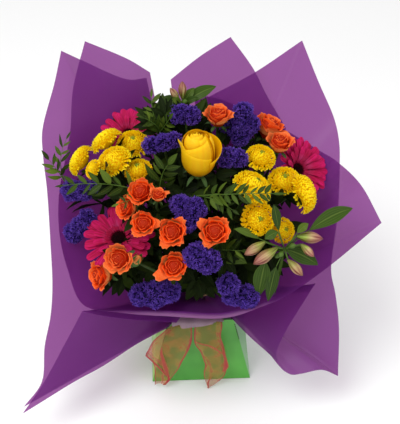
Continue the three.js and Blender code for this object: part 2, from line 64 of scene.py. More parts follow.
def addNode(tree, kind, settings=None, links=None):
    node = tree.nodes.new("ShaderNode" + kind)
    for key, value in (settings or {}).items():
        if key == "stops":
            ramp = node.color_ramp
            while len(ramp.elements) < len(value):
                ramp.elements.new(1)
            for element, (place, code) in zip(ramp.elements, value):
                element.position = place
                element.color = srgb(code)
        elif isinstance(key, int) or key in node.inputs:
            node.inputs[key].default_value = value
        else:
            setattr(node, key, value)
    for key, source in (links or {}).items():  # a node stands for its first output
        socket = source.outputs[0] if isinstance(source, bpy.types.Node) else source
        tree.links.new(socket, node.inputs[key])
    return node


def newMaterial(name):
    material = bpy.data.materials.new(name)
    material.use_nodes = True
    material.node_tree.nodes.clear()
    return material, material.node_tree


def plainMaterial(name, settings):
    material, tree = newMaterial(name)
    skin = addNode(tree, "BsdfPrincipled", settings)
    addNode(tree, "OutputMaterial", None, {0: skin})
    return material


def plantInputs(tree):
    # how far across and along a petal or leaf, and its own tone
    uv = addNode(tree, "UVMap", {"uv_map": "petal"})
    split = addNode(tree, "SeparateXYZ", None, {0: uv})
    tone = addNode(tree, "Attribute", {"attribute_name": "tone"})
    return split.outputs[0], split.outputs[1], tone.outputs["Fac"]


def finishPlant(tree, look, colour, relief):
    # a skin in low relief over flesh that light glows through
    bump = addNode(tree, "Bump", {"Strength": look["bump"], "Distance": look["relief"] * mm},
                   {"Height": relief})
    skin = addNode(tree, "BsdfPrincipled",
                   {"Roughness": look["roughness"], "Specular IOR Level": look["specular"]},
                   {"Base Color": colour, "Normal": bump})
    glow = addNode(tree, "BsdfTranslucent", None, {"Color": colour})
    both = addNode(tree, "MixShader", {0: look["glow"]}, {1: skin, 2: glow})
    addNode(tree, "OutputMaterial", None, {0: both})


def petalMaterial(name, look):
    # a living petal: its colour runs from foot to tip, in some looks darkened at the foot as painted shade,
    # and fine veins run its length
    look = {"bump": 0.25, "relief": 0.4, "specular": 0.35, **look}
    material, tree = newMaterial(name)
    across, along, tone = plantInputs(tree)
    fresh = addNode(tree, "ValToRGB", {"stops": look["along"]}, {0: along})
    # the tone mixes in a second colour: real ageing on some petals, painted shade on the yellow rose
    agedAndShaded = addNode(tree, "MixRGB", {"Color2": srgb(look["agedAndShaded"])}, {"Fac": tone, "Color1": fresh})
    wide = addNode(tree, "Math", {"operation": "MULTIPLY", 1: look["veins"]}, {0: across})
    shift = addNode(tree, "Math", {"operation": "MULTIPLY", 1: 41}, {0: tone})  # other veins on each petal
    lines = addNode(tree, "CombineXYZ", None, {0: wide, 1: along, 2: shift})
    vein = addNode(tree, "TexNoise", {"Scale": 1.0, "Detail": 2.0}, {"Vector": lines})
    shade = addNode(tree, "ValToRGB", {"stops": [(0.3, look["veinShade"]), (0.62, "#ffffff")]}, {0: vein})
    colour = addNode(tree, "MixRGB", {"blend_type": "MULTIPLY", "Fac": 1.0},
                     {"Color1": agedAndShaded, "Color2": shade})
    finishPlant(tree, look, colour, vein)
    return material


def leafMaterial(name, look):
    # a leaf: waxy upper skin, pale midrib and fine veins, darker or younger green from leaf to leaf
    look = {"bump": 0.35, "relief": 0.5, "specular": 0.22, "glow": 0.22, **look}
    material, tree = newMaterial(name)
    across, along, tone = plantInputs(tree)
    green = addNode(tree, "ValToRGB", {"stops": look["greens"]}, {0: tone})
    centred = addNode(tree, "Math", {"operation": "SUBTRACT", 1: 0.5}, {0: across})
    out = addNode(tree, "Math", {"operation": "ABSOLUTE"}, {0: centred})
    rib = addNode(tree, "MapRange", {"From Max": look["rib"], "To Min": 1.0, "To Max": 0.0}, {"Value": out})
    line = out
    if "slant" in look:  # side veins that branch off the midrib, where the others run beside it
        line = addNode(tree, "Math", {"operation": "MULTIPLY_ADD", 1: look["slant"]}, {0: out, 2: along})
    repeated = addNode(tree, "Math", {"operation": "MULTIPLY", 1: look["veins"]}, {0: line})
    wave = addNode(tree, "Math", {"operation": "SINE"}, {0: repeated})
    vein = addNode(tree, "MapRange", {"From Min": 0.5, "To Max": 0.2}, {"Value": wave})
    light = addNode(tree, "Math", {"operation": "MAXIMUM"}, {0: rib, 1: vein})
    colour = addNode(tree, "MixRGB", {"Color2": srgb(look["vein"])}, {"Fac": light, "Color1": green})
    finishPlant(tree, look, colour, light)
    return material


stemSkin = leafMaterial("green stem", {  # smooth stem, painted darker down in the bunch as shade
    "greens": [(0, "#16260c"), (1, "#5a7a2c")], "vein": "#6b8a40", "rib": 0.0, "veins": 30,
    "roughness": 0.5})


# Shapes

def turn(azimuth, tilt):
    a, t = math.radians(azimuth), math.radians(tilt)
    return Vector((math.sin(t) * math.cos(a), math.sin(t) * math.sin(a), math.cos(t)))


def smooth(x, low, high):
    t = min(max((x - low) / (high - low), 0), 1)
    return t * t * (3 - 2 * t)


def lerp(a, b, t):
    return a + (b - a) * t


def polar(a, r, z=0):
    return Vector((math.cos(a) * r, math.sin(a) * r, z))


def inPicture(angle):
    return pictureRight * math.cos(angle) + pictureUp * math.sin(angle)


def raysRound(count, first=0.0):
    return [polar(k * math.tau / count + first, 1) for k in range(count)]


def newBody():
    bm = bmesh.new()
    bm.loops.layers.uv.new("petal")
    bm.verts.layers.float.new("tone")
    return bm


def addGrid(bm, cols, rows, shape, tone=0.0, material=0):
    # a patch whose u runs from -1 to 1 across and v from 0 to 1 along
    toneLayer = bm.verts.layers.float["tone"]
    made = bmesh.ops.create_grid(bm, x_segments=cols, y_segments=rows, size=1, calc_uvs=True)["verts"]
    for vert in made:
        u, v = vert.co.x, (vert.co.y + 1) / 2
        vert.co = shape(u, v)
        vert[toneLayer] = tone(u, v) if callable(tone) else tone
    if material:
        for face in {f for vert in made for f in vert.link_faces}:
            face.material_index = material


def addCore(bm, height, wide, high, columns):
    # a ball inside a head, so that nothing shows through between its petals
    place = Matrix.Translation((0, 0, height)) @ Matrix.Diagonal((wide, wide, high, 1))
    bmesh.ops.create_uvsphere(bm, u_segments=columns, v_segments=10, radius=1, matrix=place)


def settle(bm, name, materials, nodes, offset=bunchOffset, sewn=False):
    # brings a finished bmesh to metres as one piece that takes the place of its CAD nodes
    place = Matrix.Translation((offset * mm, 0, 0)) @ Matrix.Scale(mm, 4)
    bmesh.ops.transform(bm, matrix=place, verts=bm.verts)
    if sewn:
        bmesh.ops.remove_doubles(bm, verts=bm.verts, dist=0.01 * mm)
        bmesh.ops.recalc_face_normals(bm, faces=bm.faces)
    mesh = bpy.data.meshes.new(name)
    bm.to_mesh(mesh)
    bm.free()
    mesh.shade_smooth()
    for material in materials:
        mesh.materials.append(material)
    piece = bpy.data.objects.new(name, mesh)
    bpy.context.scene.collection.objects.link(piece)
    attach(piece, "root")
    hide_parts(*nodes)
    return piece


def nodePoints(node):
    # the corners of a CAD node in the bunch's millimetres, each once
    shift = Vector((bunchOffset, 0, 0))
    corners = {tuple(round(c / mm, 2) for c in v.co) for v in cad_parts[node].data.vertices}
    return [Vector(c) - shift for c in corners]


def seatOf(node, face):
    # foot, direction and height of a head that is round about the way it faces
    way = turn(*face)
    points = nodePoints(node)
    middle = sum(points, Vector()) / len(points)
    heights = [(p - middle).dot(way) for p in points]
    return middle + way * min(heights), way, max(heights) - min(heights)


def standing(foot, way, spin=0.0):
    upright = up.rotation_difference(way).to_matrix().to_4x4()
    return Matrix.Translation(foot) @ upright @ Matrix.Rotation(spin, 4, "Z")


def bezier(a, b, c, t):
    return a * (1 - t) ** 2 + b * (2 * t * (1 - t)) + c * t ** 2


def bezierWay(a, b, c, t):
    return ((b - a) * (1 - t) + (c - b) * t).normalized()


def addTubes(bm, routes, tone=0.0, material=0):
    # eight-sided stems along lists of (point, radius)
    curve = bpy.data.curves.new("route", "CURVE")
    curve.dimensions = "3D"
    curve.bevel_depth = 1
    curve.bevel_resolution = 1
    curve.use_fill_caps = True
    for route in routes:
        spline = curve.splines.new("POLY")
        spline.points.add(len(route) - 1)
        for point, (place, radius) in zip(spline.points, route):
            point.co = (*place, 1)
            point.radius = radius
    holder = bpy.data.objects.new("route", curve)
    mesh = bpy.data.meshes.new_from_object(holder)
    before = len(bm.verts)
    bm.from_mesh(mesh)
    bm.verts.ensure_lookup_table()
    toneLayer = bm.verts.layers.float["tone"]
    fresh = bm.verts[before:]
    for vert in fresh:
        vert[toneLayer] = tone
    for face in {f for vert in fresh for f in vert.link_faces}:
        face.material_index = material
    bpy.data.objects.remove(holder)
    bpy.data.curves.remove(curve)
    bpy.data.meshes.remove(mesh)


leafForm = {"fold": 0.35, "arch": 0.1, "fullness": 0.9, "point": 0.02, "waves": 15}


def addLeaf(bm, foot, bend, tip, width, cols=4, rows=8, wave=0.0, widest=0.42, rise=up, tone=0.0,
            material=0):
    # a pointed blade bent along a path, folded up from its midrib
    def shape(u, v):
        ahead = bezierWay(foot, bend, tip, v)
        across = ahead.cross(rise).normalized()
        over = across.cross(ahead)
        swell = v / widest if v < widest else (1 - v) / (1 - widest)
        half = width / 2 * max(math.sin(math.pi / 2 * swell) ** leafForm["fullness"], leafForm["point"])
        lift = leafForm["fold"] * abs(u) * half - leafForm["arch"] * half * u * u
        lift += wave * math.sin(v * leafForm["waves"]) * abs(u)
        return bezier(foot, bend, tip, v) + across * u * half + over * lift
    addGrid(bm, cols, rows, shape, tone, material)


budForm = {"cols": 18, "rows": 10, "twist": 0.35, "ridges": 3, "ridge": 0.07, "belly": 1.2,
           "fullness": 0.85}


def addBud(bm, foot, tip, radius, neck, tone, material=0):
    # a closed bud with three soft ridges that turn a little on the way up
    place = standing(foot, (tip - foot).normalized())
    long = (tip - foot).length

    def shape(u, v):
        a = (u + 1) * math.pi + budForm["twist"] * v
        r = neck * (1 - v) + radius * math.sin(math.pi * v ** budForm["belly"]) ** budForm["fullness"]
        r *= 1 + budForm["ridge"] * math.cos(budForm["ridges"] * a) * smooth(v, 0.1, 0.6)
        return place @ polar(a, r, v * long)
    addGrid(bm, budForm["cols"], budForm["rows"], shape, tone, material)


# Camera, floor and light

def makeCamera():
    # worked out from the photograph: 35 degrees down, 1.4 m from the middle of the blooms
    view = {"elevation": 35, "distance": 1400, "aim": (2, 0, 280), "lens": 77.35, "sensor": 36}
    e = math.radians(view["elevation"])
    back = Vector((0, -math.cos(e), math.sin(e)))
    data = bpy.data.cameras.new("camera")
    data.sensor_fit = "VERTICAL"
    data.sensor_height = view["sensor"]
    data.lens = view["lens"]
    data.clip_end = 20
    camera = bpy.data.objects.new("camera", data)
    camera.location = (Vector(view["aim"]) + back * view["distance"]) * mm
    camera.rotation_euler = back.to_track_quat("Z", "Y").to_euler()
    bpy.context.scene.collection.objects.link(camera)
    bpy.context.scene.camera = camera


def makeStage():
    stage = {"floor": 12, "sunk": 0.0005, "world": 0.85, "aim": (0, 0, 0.25),  # metres and watts
             "key": 34, "keySize": 1.5, "keyAt": (-0.9, -1.0, 2.3),
             "fill": 9, "fillSize": 2.0, "fillAt": (1.7, -1.3, 1.1)}
    bm = bmesh.new()
    bmesh.ops.create_grid(bm, x_segments=1, y_segments=1, size=stage["floor"] / 2)
    mesh = bpy.data.meshes.new("floor")
    bm.to_mesh(mesh)
    bm.free()
    mesh.materials.append(plainMaterial("matt white board", {  # plain photographer's board, no sheen
        "Base Color": srgb("#f6f6f6"), "Roughness": 0.9, "Specular IOR Level": 0.1}))
    floor = bpy.data.objects.new("floor", mesh)
    floor.location = (0, 0, -stage["sunk"])
    bpy.context.scene.collection.objects.link(floor)
    for name in ("key", "fill"):
        lamp = bpy.data.lights.new(name, "AREA")
        lamp.shape = "DISK"
        lamp.size = stage[name + "Size"]
        lamp.energy = stage[name]
        holder = bpy.data.objects.new(name, lamp)
        holder.location = stage[name + "At"]
        away = holder.location - Vector(stage["aim"])
        holder.rotation_euler = away.to_track_quat("Z", "Y").to_euler()
        bpy.context.scene.collection.objects.link(holder)
    world = bpy.data.worlds.new("studio")
    world.use_nodes = True
    world.node_tree.nodes.clear()
    sky = addNode(world.node_tree, "Background", {"Color": (1, 1, 1, 1), "Strength": stage["world"]})
    addNode(world.node_tree, "OutputWorld", None, {0: sky})
    bpy.context.scene.world = world
    bpy.context.scene.view_settings.view_transform = "Standard"


makeCamera()
makeStage()
print("camera and stage ready")


# Film

film = {"ring": 20.8, "ringStep": 1.25, "gathered": 128, "rows": 36, "steps": 9, "flare": 1.25,
        "pleats": 19, "pleatDepth": 3.52, "pleatStart": 14, "pleatFade": 9, "buckle": 5.0, "buckleSize": 85,
        "lip": 9, "lipAt": 0.91, "lipWidth": 0.05}
filmSheets = {  # flat size and area in metres; the rim as stretches of points, with a corner between two
    "film_inner": {
        "layer": 0, "flat": (0.72, 0.42), "area": 0.2, "on": ["stems", "ribbon_bow"],
        "lip": (0.39, 0.47, 0.53, 0.63), "pinches": [(0.775, 0.014, 7), (0.31, 0.03, 5)], "edge": [
            [(-77, 125, 455), (-110, 112, 484), (-170, 100, 518)],
            [(-170, 100, 518), (-190, 75, 452), (-196, 45, 392), (-214, 0, 311), (-210, -50, 273),
             (-195, -95, 242), (-171, -137, 212), (-114, -164, 219), (-53, -170, 218), (39, -168, 213),
             (88, -160, 227), (121, -150, 237), (179, -120, 262), (268, -55, 299)],
            [(268, -55, 299), (239, -10, 338), (206, 22, 358), (184, 52, 358), (120, 84, 384),
             (34, 108, 416), (-8, 112, 424)],
        ],
    },
    "film_left": {
        "layer": 1, "flat": (0.45, 0.42), "area": 0.1, "on": ["film_inner", "ribbon_bow"],
        "droop": (1, (0, -44, -4)), "edge": [
            [(-84, 142, 437), (-112, 142, 434), (-181, 128, 474), (-208, 110, 498)],
            [(-208, 110, 498), (-219, 90, 456), (-238, 50, 395), (-238, 34, 362), (-233, 9, 315),
             (-228, -35, 252), (-226, -70, 189), (-229, -95, 152), (-236, -130, 122), (-238, -172, 88),
             (-262, -204, 69)],
        ],
    },
    "film_back": {
        "layer": 1, "flat": (0.24, 0.38), "area": 0.046, "on": ["film_inner", "ribbon_bow"], "edge": [
            [(-46, 142, 434), (0, 150, 470), (47, 155, 500)],
            [(47, 155, 500), (82, 135, 457), (104, 120, 418), (134, 90, 376)],
        ],
    },
    "film_right": {
        "layer": 2, "flat": (0.46, 0.44), "area": 0.11, "on": ["film_inner", "film_back", "ribbon_bow"],
        "lift": 8, "edge": [
            [(13, 180, 383), (85, 185, 423), (158, 160, 492)],
            [(158, 160, 492), (185, 140, 433), (211, 110, 382), (217, 80, 358), (216, 48, 334),
             (212, 0, 274), (200, -60, 213), (206, -82, 186), (212, -107, 144), (213, -140, 69)],
            [(213, -140, 69), (185, -148, 90), (155, -150, 84), (140, -147, 79), (128, -142, 83),
             (117, -132, 90)],
        ],
    },
    "film_wing_left": {
        "layer": 2, "flat": (0.3, 0.26), "area": 0.035, "on": ["film_left", "ribbon_bow"],
        "lift": 2, "droop": (0, (0, -44, -4)), "edge": [
            [(-262, -215, 67), (-232, -190, 103), (-200, -164, 155), (-171, -145, 206)],
            [(-171, -145, 206), (-150, -153, 206), (-127, -161, 208), (-91, -167, 208), (-55, -169, 207),
             (-34, -167, 203)],
        ],
    },
    "film_wing_right": {
        "layer": 1, "flat": (0.16, 0.2), "area": 0.0155, "on": ["film_right", "ribbon_bow"], "edge": [
            [(162, -112, 214), (168, -121, 238), (144, -133, 195), (127, -141, 162), (115, -146, 125),
             (118, -145, 104)],
        ],
    },
}


def splinePoints(stretch, steps, even=False):
    # a centripetal curve through every point, as the solids' edges follow, or an evenly timed one
    points = [Vector(p) for p in stretch]
    points = [points[0] * 2 - points[1], *points, points[-1] * 2 - points[-2]]
    out = []
    for p0, p1, p2, p3 in zip(points, points[1:], points[2:], points[3:]):
        d0, d1, d2 = (1 if even else math.sqrt((b - a).length) for a, b in ((p0, p1), (p1, p2), (p2, p3)))
        m1 = ((p1 - p0) / d0 - (p2 - p0) / (d0 + d1) + (p2 - p1) / d1) * d1
        m2 = ((p2 - p1) / d1 - (p3 - p1) / (d1 + d2) + (p3 - p2) / d2) * d1
        for k in range(steps):
            t = k / steps
            out.append(p1 * (2 * t ** 3 - 3 * t ** 2 + 1) + m1 * (t ** 3 - 2 * t ** 2 + t)
                       + p2 * (3 * t ** 2 - 2 * t ** 3) + m2 * (t ** 3 - t ** 2))
    out.append(points[-2])
    return out


def filmMaterial():
    # frosted polypropylene wrap: dyed through, so each layer darkens it; matt, with a soft gloss at folds, and
    # a painted highlight along the turned-out lip
    material, tree = newMaterial("frosted polypropylene wrap")
    place = addNode(tree, "TexCoord").outputs["Object"]
    # mottling of 3 mm, and buckles of 60 mm
    frost = addNode(tree, "TexNoise", {"Scale": 1 / (3 * mm), "Detail": 3.0}, {"Vector": place})
    creases = addNode(tree, "TexNoise", {"Scale": 1 / (60 * mm), "Detail": 2.0}, {"Vector": place})
    body = addNode(tree, "MixRGB", {"Color1": srgb("#682476"), "Color2": srgb("#752e86")},
                   {"Fac": creases})
    # the turned-out lip is mixed towards pale mauve: partly frosting where the film turns over, partly painted
    # highlight
    turned = addNode(tree, "Attribute", {"attribute_name": "tone"})
    dyeAndLipHighlight = addNode(tree, "MixRGB", {"Color2": srgb("#c98cc4")},
                  {"Fac": turned.outputs["Fac"], "Color1": body})
    bump = addNode(tree, "Bump", {"Strength": 0.06, "Distance": 0.2 * mm}, {"Height": frost})
    skin = addNode(tree, "BsdfPrincipled", {"Roughness": 0.42, "Specular IOR Level": 0.35},
                   {"Base Color": dyeAndLipHighlight, "Normal": bump})
    through = addNode(tree, "BsdfTranslucent", {"Color": srgb("#7a3390")})
    body = addNode(tree, "MixShader", {0: 0.3}, {1: skin, 2: through})
    clear = addNode(tree, "BsdfTransparent", {"Color": srgb("#b878b0")})
    sheet = addNode(tree, "MixShader", {0: 0.58}, {1: clear, 2: body})
    addNode(tree, "OutputMaterial", None, {0: sheet})
    return material


def makeFilm():
    wrap = filmMaterial()
    for name, sheet in filmSheets.items():
        rim = []
        for stretch in sheet["edge"]:
            rim.extend(splinePoints(stretch, film["steps"])[1 if rim else 0:])
        radius = film["ring"] + sheet["layer"] * film["ringStep"]
        height = film["gathered"] - sheet["layer"] * film["ringStep"]
        neck = [Vector((p.x, p.y, 0)).normalized() * radius + up * height for p in rim]
        last = len(rim) - 1
        normals = [(rim[min(i + 1, last)] - rim[max(i - 1, 0)]).cross(rim[i] - neck[i]).normalized()
                   for i in range(last + 1)]

        def lipped(place):  # how far the front rim of the inner sheet is turned out
            if "lip" not in sheet:
                return 0
            a, b, c, d = sheet["lip"]
            return smooth(place, a, b) * (1 - smooth(place, c, d))

        def shape(u, v):
            i = round((u + 1) / 2 * last)
            t = v ** film["flare"]
            base = neck[i].lerp(rim[i], t) + up * sheet.get("lift", 0) * t * (1 - t) / 0.24
            angle = math.atan2(rim[i].y, rim[i].x)
            pleat = math.sin(angle * film["pleats"] + 2 * math.sin(angle * 3)) * film["pleatDepth"]
            pleat *= min(t * film["pleatStart"], 1) * math.exp(-t * film["pleatFade"])
            buckle = noise.noise(base / film["buckleSize"]) * film["buckle"] * math.sin(math.pi * t) ** 0.7
            for middle, width, depth in sheet.get("pinches", ()):
                across = (i / last - middle) / width
                pinched = smooth(t, 0.45, 0.8) * (1 - smooth(t, 0.94, 1))
                buckle += depth * math.exp(-across * across) * pinched
            if "droop" in sheet:  # the free lower edge hangs out over the rim of the vase
                end, hang = sheet["droop"]
                near = 1 - smooth(abs(i / last - end), 0, 0.4)
                base += Vector(hang) * near * smooth(t, 0, 0.14) * (1 - t)
            crest = math.exp(-((t - film["lipAt"]) / film["lipWidth"]) ** 2)
            base += up * film["lip"] * lipped(i / last) * crest
            return base + normals[i] * (pleat + buckle)

        # the lighter strip along the lip: partly frosting where the film turns over, partly painted highlight
        def frosted(u, v):
            return smooth(v ** film["flare"], 0.93, 0.965) * lipped((u + 1) / 2)

        bm = newBody()
        addGrid(bm, last, film["rows"], shape, frosted)
        area = sum(f.calc_area() for f in bm.faces) * mm * mm
        piece = settle(bm, name.replace("film_", "wrap_"), [wrap], [name])
        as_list(sheet["on"])
        print(name, "area", round(area, 4))


makeFilm()
print("film ready")


# Spray roses and the yellow rose

roseFaces = {  # which way each rose looks: degrees round, and degrees down from straight up
    "a": (250, 38), "b": (222, 60), "c": (300, 14), "d": (270, 52), "e": (264, 56),
    "f": (272, 50), "g": (256, 58), "h": (215, 70), "i": (272, 54), "j": (280, 8), "k": (10, 24),
    "l": (300, 14)}
sprayRose = {"petals": 14, "height": 27, "radius": 15.4 / 27, "inner": 0.1, "reach": 0.84, "low": 0.84,
             "spanIn": 1.4, "spanOut": 0.8, "flareIn": -0.1, "flareOut": 0.2, "cols": 8, "rows": 9,
             "ruffle": 0.06, "guards": 5, "corner": 0.62,
             "pale": {"g": 0.3, "j": 0.25, "k": 0.1, "l": 0.25, "c": 0.2}}
roseCorners = {  # petals that peel away: direction in the picture, how far they lean out, how long
    "a": [(350, 0.25, 1.0), (250, 0.25, 0.9)], "b": [(200, 0.2, 1.0), (280, 0.25, 1.0)],
    "c": [(20, 0.5, 1.25), (130, 0.4, 1.1)], "d": [(0, 0.46, 1.0), (235, 0.4, 1.05), (110, 0.1, 1.0)],
    "e": [(50, 0.4, 1.0), (240, 0.5, 1.05), (134, 0.2, 1.0), (304, 0.28, 1.0)],
    "f": [(150, 0.5, 1.05), (46, 0.3, 1.0), (238, 0.4, 1.0), (318, 0.12, 1.0)],
    "g": [], "h": [(300, 0.3, 1.0), (150, 0.45, 1.0)], "i": [(214, 0.8, 1.15), (95, 0.14, 1.0)],
    "j": [(180, 0.3, 1.0), (0, 0.3, 1.0)], "k": [(180, 0.4, 1.0), (340, 0.4, 1.0)], "l": [(20, 0.3, 1.0)],
}


def addRose(bm, rose, height, seed, corners, pale):
    # petals wound from a tight heart outwards, guard petals round them, and those that peel away
    draw = random.Random(seed)
    radius = height * rose["radius"]
    plan = []
    for k in range(rose["petals"]):
        f = k / (rose["petals"] - 1)
        plan.append({
            "round": k * petalTurn + draw.uniform(-0.2, 0.2),
            "half": lerp(rose["spanIn"], rose["spanOut"], f ** 0.6),
            "out": radius * lerp(rose["inner"], rose["reach"], f ** 0.85),
            "tall": height * (lerp(1.0, rose["low"], f ** 1.8) - 0.07 * (1 - f) ** 3)
            * draw.uniform(0.97, 1.03),
            "flare": lerp(rose["flareIn"], rose["flareOut"], f) * draw.uniform(0.8, 1.2),
            "point": 0.1, "peach": (pale, pale)})
    for k in range(rose["guards"]):
        plan.append({
            "round": k * math.tau / rose["guards"] + draw.uniform(-0.3, 0.3), "half": 0.72,
            "out": radius * draw.uniform(0.93, 1.02), "tall": height * draw.uniform(0.74, 0.84),
            "flare": draw.uniform(0.05, 0.24), "point": 0.3, "peach": (1.0, 0.1 + pale)})
    for azimuth, flare, long in corners:
        plan.append({
            "round": azimuth, "half": rose["corner"], "out": radius * 1.02, "tall": height * 0.8 * long,
            "flare": flare, "point": 0.66, "peach": (0.8, 0.12 + pale)})
    for k, petal in enumerate(plan):
        lean = draw.uniform(-0.1, 0.1)

        def shape(u, v):
            wide = (0.4 + 0.6 * smooth(v, 0, 0.45)) * (1 - petal["point"] * smooth(v, 0.6, 1))
            cup = 0.3 + 0.7 * math.sin(math.pi / 2 * min(1, v * 1.5))
            lip = smooth(v, 0.6, 1)
            r = petal["out"] * (cup + petal["flare"] * lip ** 1.5) + 0.05 * radius * smooth(v, 0.84, 1)
            r += rose["ruffle"] * radius * lip * math.sin(u * 5 + k)
            z = petal["tall"] * v * (1 - 0.14 * u * u * v + lean * u * v)
            z -= radius * max(petal["flare"], 0) * smooth(v, 0.82, 1) * 0.6
            return polar(petal["round"] + u * petal["half"] * wide, r, z)

        def peach(u, v):
            return lerp(*petal["peach"], smooth(v, 0.45, 0.95))
        addGrid(bm, rose["cols"], rose["rows"], shape, peach)
    addCore(bm, height * 0.4, radius * 0.8, height * 0.5, 16)
    for ray in raysRound(5, 0.4):  # sepals under the head
        addLeaf(bm, ray * radius * 0.2 + up * 0.3, ray * radius * 0.95 - up * 0.5,
                ray * radius * 1.15 - up * height * 0.12, radius * 0.34,
                cols=2, rows=5, tone=0.3, material=1)


fullRose = {"radius": 24, "height": 68, "stretch": 1.05, "grid": 16, "heart": 9, "turn": 137.5, "half": 1.6,
            "reach": (0.3, 0.98), "hip": 8, "outer": [
    # round, half-span, reach, height at its left and right end, stand-off of its lip, curl of its left end
    (90, 1.5, 0.93, 0.95, 0.92, 0, 0), (190, 1.0, 0.96, 0.9, 0.7, 0.02, 0),
    (25, 0.8, 0.95, 0.92, 0.9, 0.02, 0), (-107, 1.15, 0.97, 0.66, 0.93, 0.03, 0),
    (-122, 1.4, 1.0, 0.76, 0.55, 0.02, 0.36), (5, 0.96, 1.02, 0.48, 0.84, 0.36, 0)]}


def ovoid(h, closing, power):
    # the side of a half-open rose at a share of its height: full at its waist, drawn in at the top
    return 0.34 + 0.66 * (1 - (1 - min(h / 0.42, 1)) ** 2.6) - closing * max((h - 0.46) / 0.54, 0) ** power


def addFullRose(bm, height):
    # a closed heart of wound petals, then the outer ones as they lie in the picture
    radius = fullRose["radius"] * height / fullRose["height"]
    heart = fullRose["heart"]
    wound = [(k * fullRose["turn"], fullRose["half"], lerp(*fullRose["reach"], k / heart),
              1.01 - 0.01 * k, 0.99 - 0.012 * k, 0, 0) for k in range(heart)]
    for number, (azimuth, half, reach, first, second, lip, left) in enumerate(wound + fullRose["outer"]):
        def shape(u, v):
            a = math.radians(azimuth) + u * half * (0.75 + 0.25 * smooth(v, 0, 0.35))
            tall = v * (lerp(first, second, (u + 1) / 2) - 0.03 * u * u)
            r = reach * (ovoid(tall, 0.9, 4) if number < heart else ovoid(tall, 0.6, 3))
            r += lip * (1 - 0.9 * u * u) * smooth(v, 0.55, 1)
            r += left * smooth(-u, 0.78, 1) * smooth(v, 0.6, 1)
            lean = 0.15 * smooth(tall, 0.5, 0.95) if number < heart + 2 else 0
            return polar(a, r * radius, height * fullRose["stretch"] * tall) - pictureRight * lean * radius

        # painted shade: an amber tone deep in the heart, and low down on the flaring petal and the outer ones
        def shade(u, v):
            if number < heart:
                return 0.4 * (1 - smooth(v, 0.75, 0.97))
            return 0.9 * (1 - smooth(v, 0.4, 1)) if lip > 0.2 else 0.25 * smooth(0.5 - v, 0, 0.5)
        addGrid(bm, fullRose["grid"], fullRose["grid"], shape, shade)
    for k, ray in enumerate(raysRound(5, 0.2)):  # thin sepals that hang from the foot
        addLeaf(bm, ray * 5, ray * 18 + up, ray * 25 - up * (11 + 4 * math.sin(k * 2)), 6.5,
                cols=2, rows=7, tone=0.6, material=1)
    addBud(bm, up * -11, up * fullRose["hip"], fullRose["hip"], 2, 1.0, 1)  # the hip below the petals


# each petal's foot is painted darker as shade between the petals, and its lip brighter, partly as painted
# highlight and partly as its real peach rim
rosePetal = petalMaterial("orange rose petal", {  # velvety petal: saturated within, peach at its edge, painted shade at its foot
    "along": [(0, "#b83006"), (0.5, "#e2440a"), (0.78, "#fa540e"), (0.92, "#ff6a1c"), (1, "#ff8e54")],
    "agedAndShaded": "#f2a45c", "veins": 12, "veinShade": "#f4c4b0", "roughness": 0.6, "glow": 0.3,
    "specular": 0.15})
# its petals are painted darker amber towards the foot as shade, and lighter at the top as painted light
yellowPetal = petalMaterial("yellow rose petal", {  # thick satin petal, amber as painted shade where it is shut in
    "along": [(0, "#b07c00"), (0.25, "#d8a200"), (0.6, "#e6b400"), (0.9, "#f2c200"), (1, "#fcd618")],
    "agedAndShaded": "#d68c00", "veins": 10, "veinShade": "#fff0d0", "roughness": 0.5, "glow": 0.25, "bump": 0.1,
    "specular": 0.22})
sepalLeaf = leafMaterial("rose sepal", {  # thin sepal, dull green
    "greens": [(0, "#22381a"), (1, "#4f6f34")], "vein": "#5f7d40", "rib": 0.06, "slant": 1.0, "veins": 40,
    "roughness": 0.55})

stemSeats = []  # where each stem ends: seat, direction, calyx radius and a point it goes round by
thinCalyx = 1.8
roseCalyx = 4.5
rosebud = {  # an opening bud that leans out beside the lowest rose
    "beside": "g", "foot": (-92, -136, 286), "tip": (-84, -147, 308), "radius": 5.4, "neck": 2.2, "calyx": 6.0}
roseVias = {"b": (-52, -62, 300), "d": (-48, -84, 300), "g": (-58, -148, 280)}


def makeRoses():
    for number, (name, face) in enumerate(roseFaces.items()):
        node = "spray_rose_" + name
        seat, way, height = seatOf(node, face)
        bm = newBody()
        stand = standing(seat, way)
        corners = []
        for angle, flare, long in roseCorners[name]:
            local = stand.to_3x3().inverted() @ inPicture(math.radians(angle))
            corners.append((math.atan2(local.y, local.x), flare, long))
        addRose(bm, sprayRose, height, 100 + number, corners, sprayRose["pale"].get(name, 0.0))
        if name == rosebud["beside"]:
            foot, tip = (stand.inverted() @ Vector(rosebud[end]) for end in ("foot", "tip"))
            addBud(bm, foot, tip, rosebud["radius"], rosebud["neck"], 0.9)
            addBud(bm, foot.lerp(tip, -0.25), foot.lerp(tip, 0.8), rosebud["calyx"], 2.0, 1.0, 1)
            along = (tip - foot).normalized()
            for k in range(5):  # its sepals have begun to open
                ray = Matrix.Rotation(k * math.tau / 5, 3, along) @ along.orthogonal().normalized()
                addLeaf(bm, foot, foot.lerp(tip, 0.6) + ray * 10, foot.lerp(tip, 1.1) + ray * 4, 5,
                        cols=2, rows=6, rise=ray, tone=1.0, material=1)
        bmesh.ops.transform(bm, matrix=stand, verts=bm.verts)
        settle(bm, "orange_rose_" + name, [rosePetal, sepalLeaf], [node])
        stemSeats.append((seat, way, roseCalyx * height / sprayRose["height"], roseVias.get(name)))
    seat, way, height = seatOf("yellow_rose_centre", (270, 5))
    bm = newBody()
    addFullRose(bm, height)
    bmesh.ops.transform(bm, matrix=standing(seat, way), verts=bm.verts)
    settle(bm, "yellow_rose", [yellowPetal, sepalLeaf], ["yellow_rose_centre"])
    stemSeats.append((seat, way, roseCalyx, None))


makeRoses()
print("roses ready")


# Gerberas

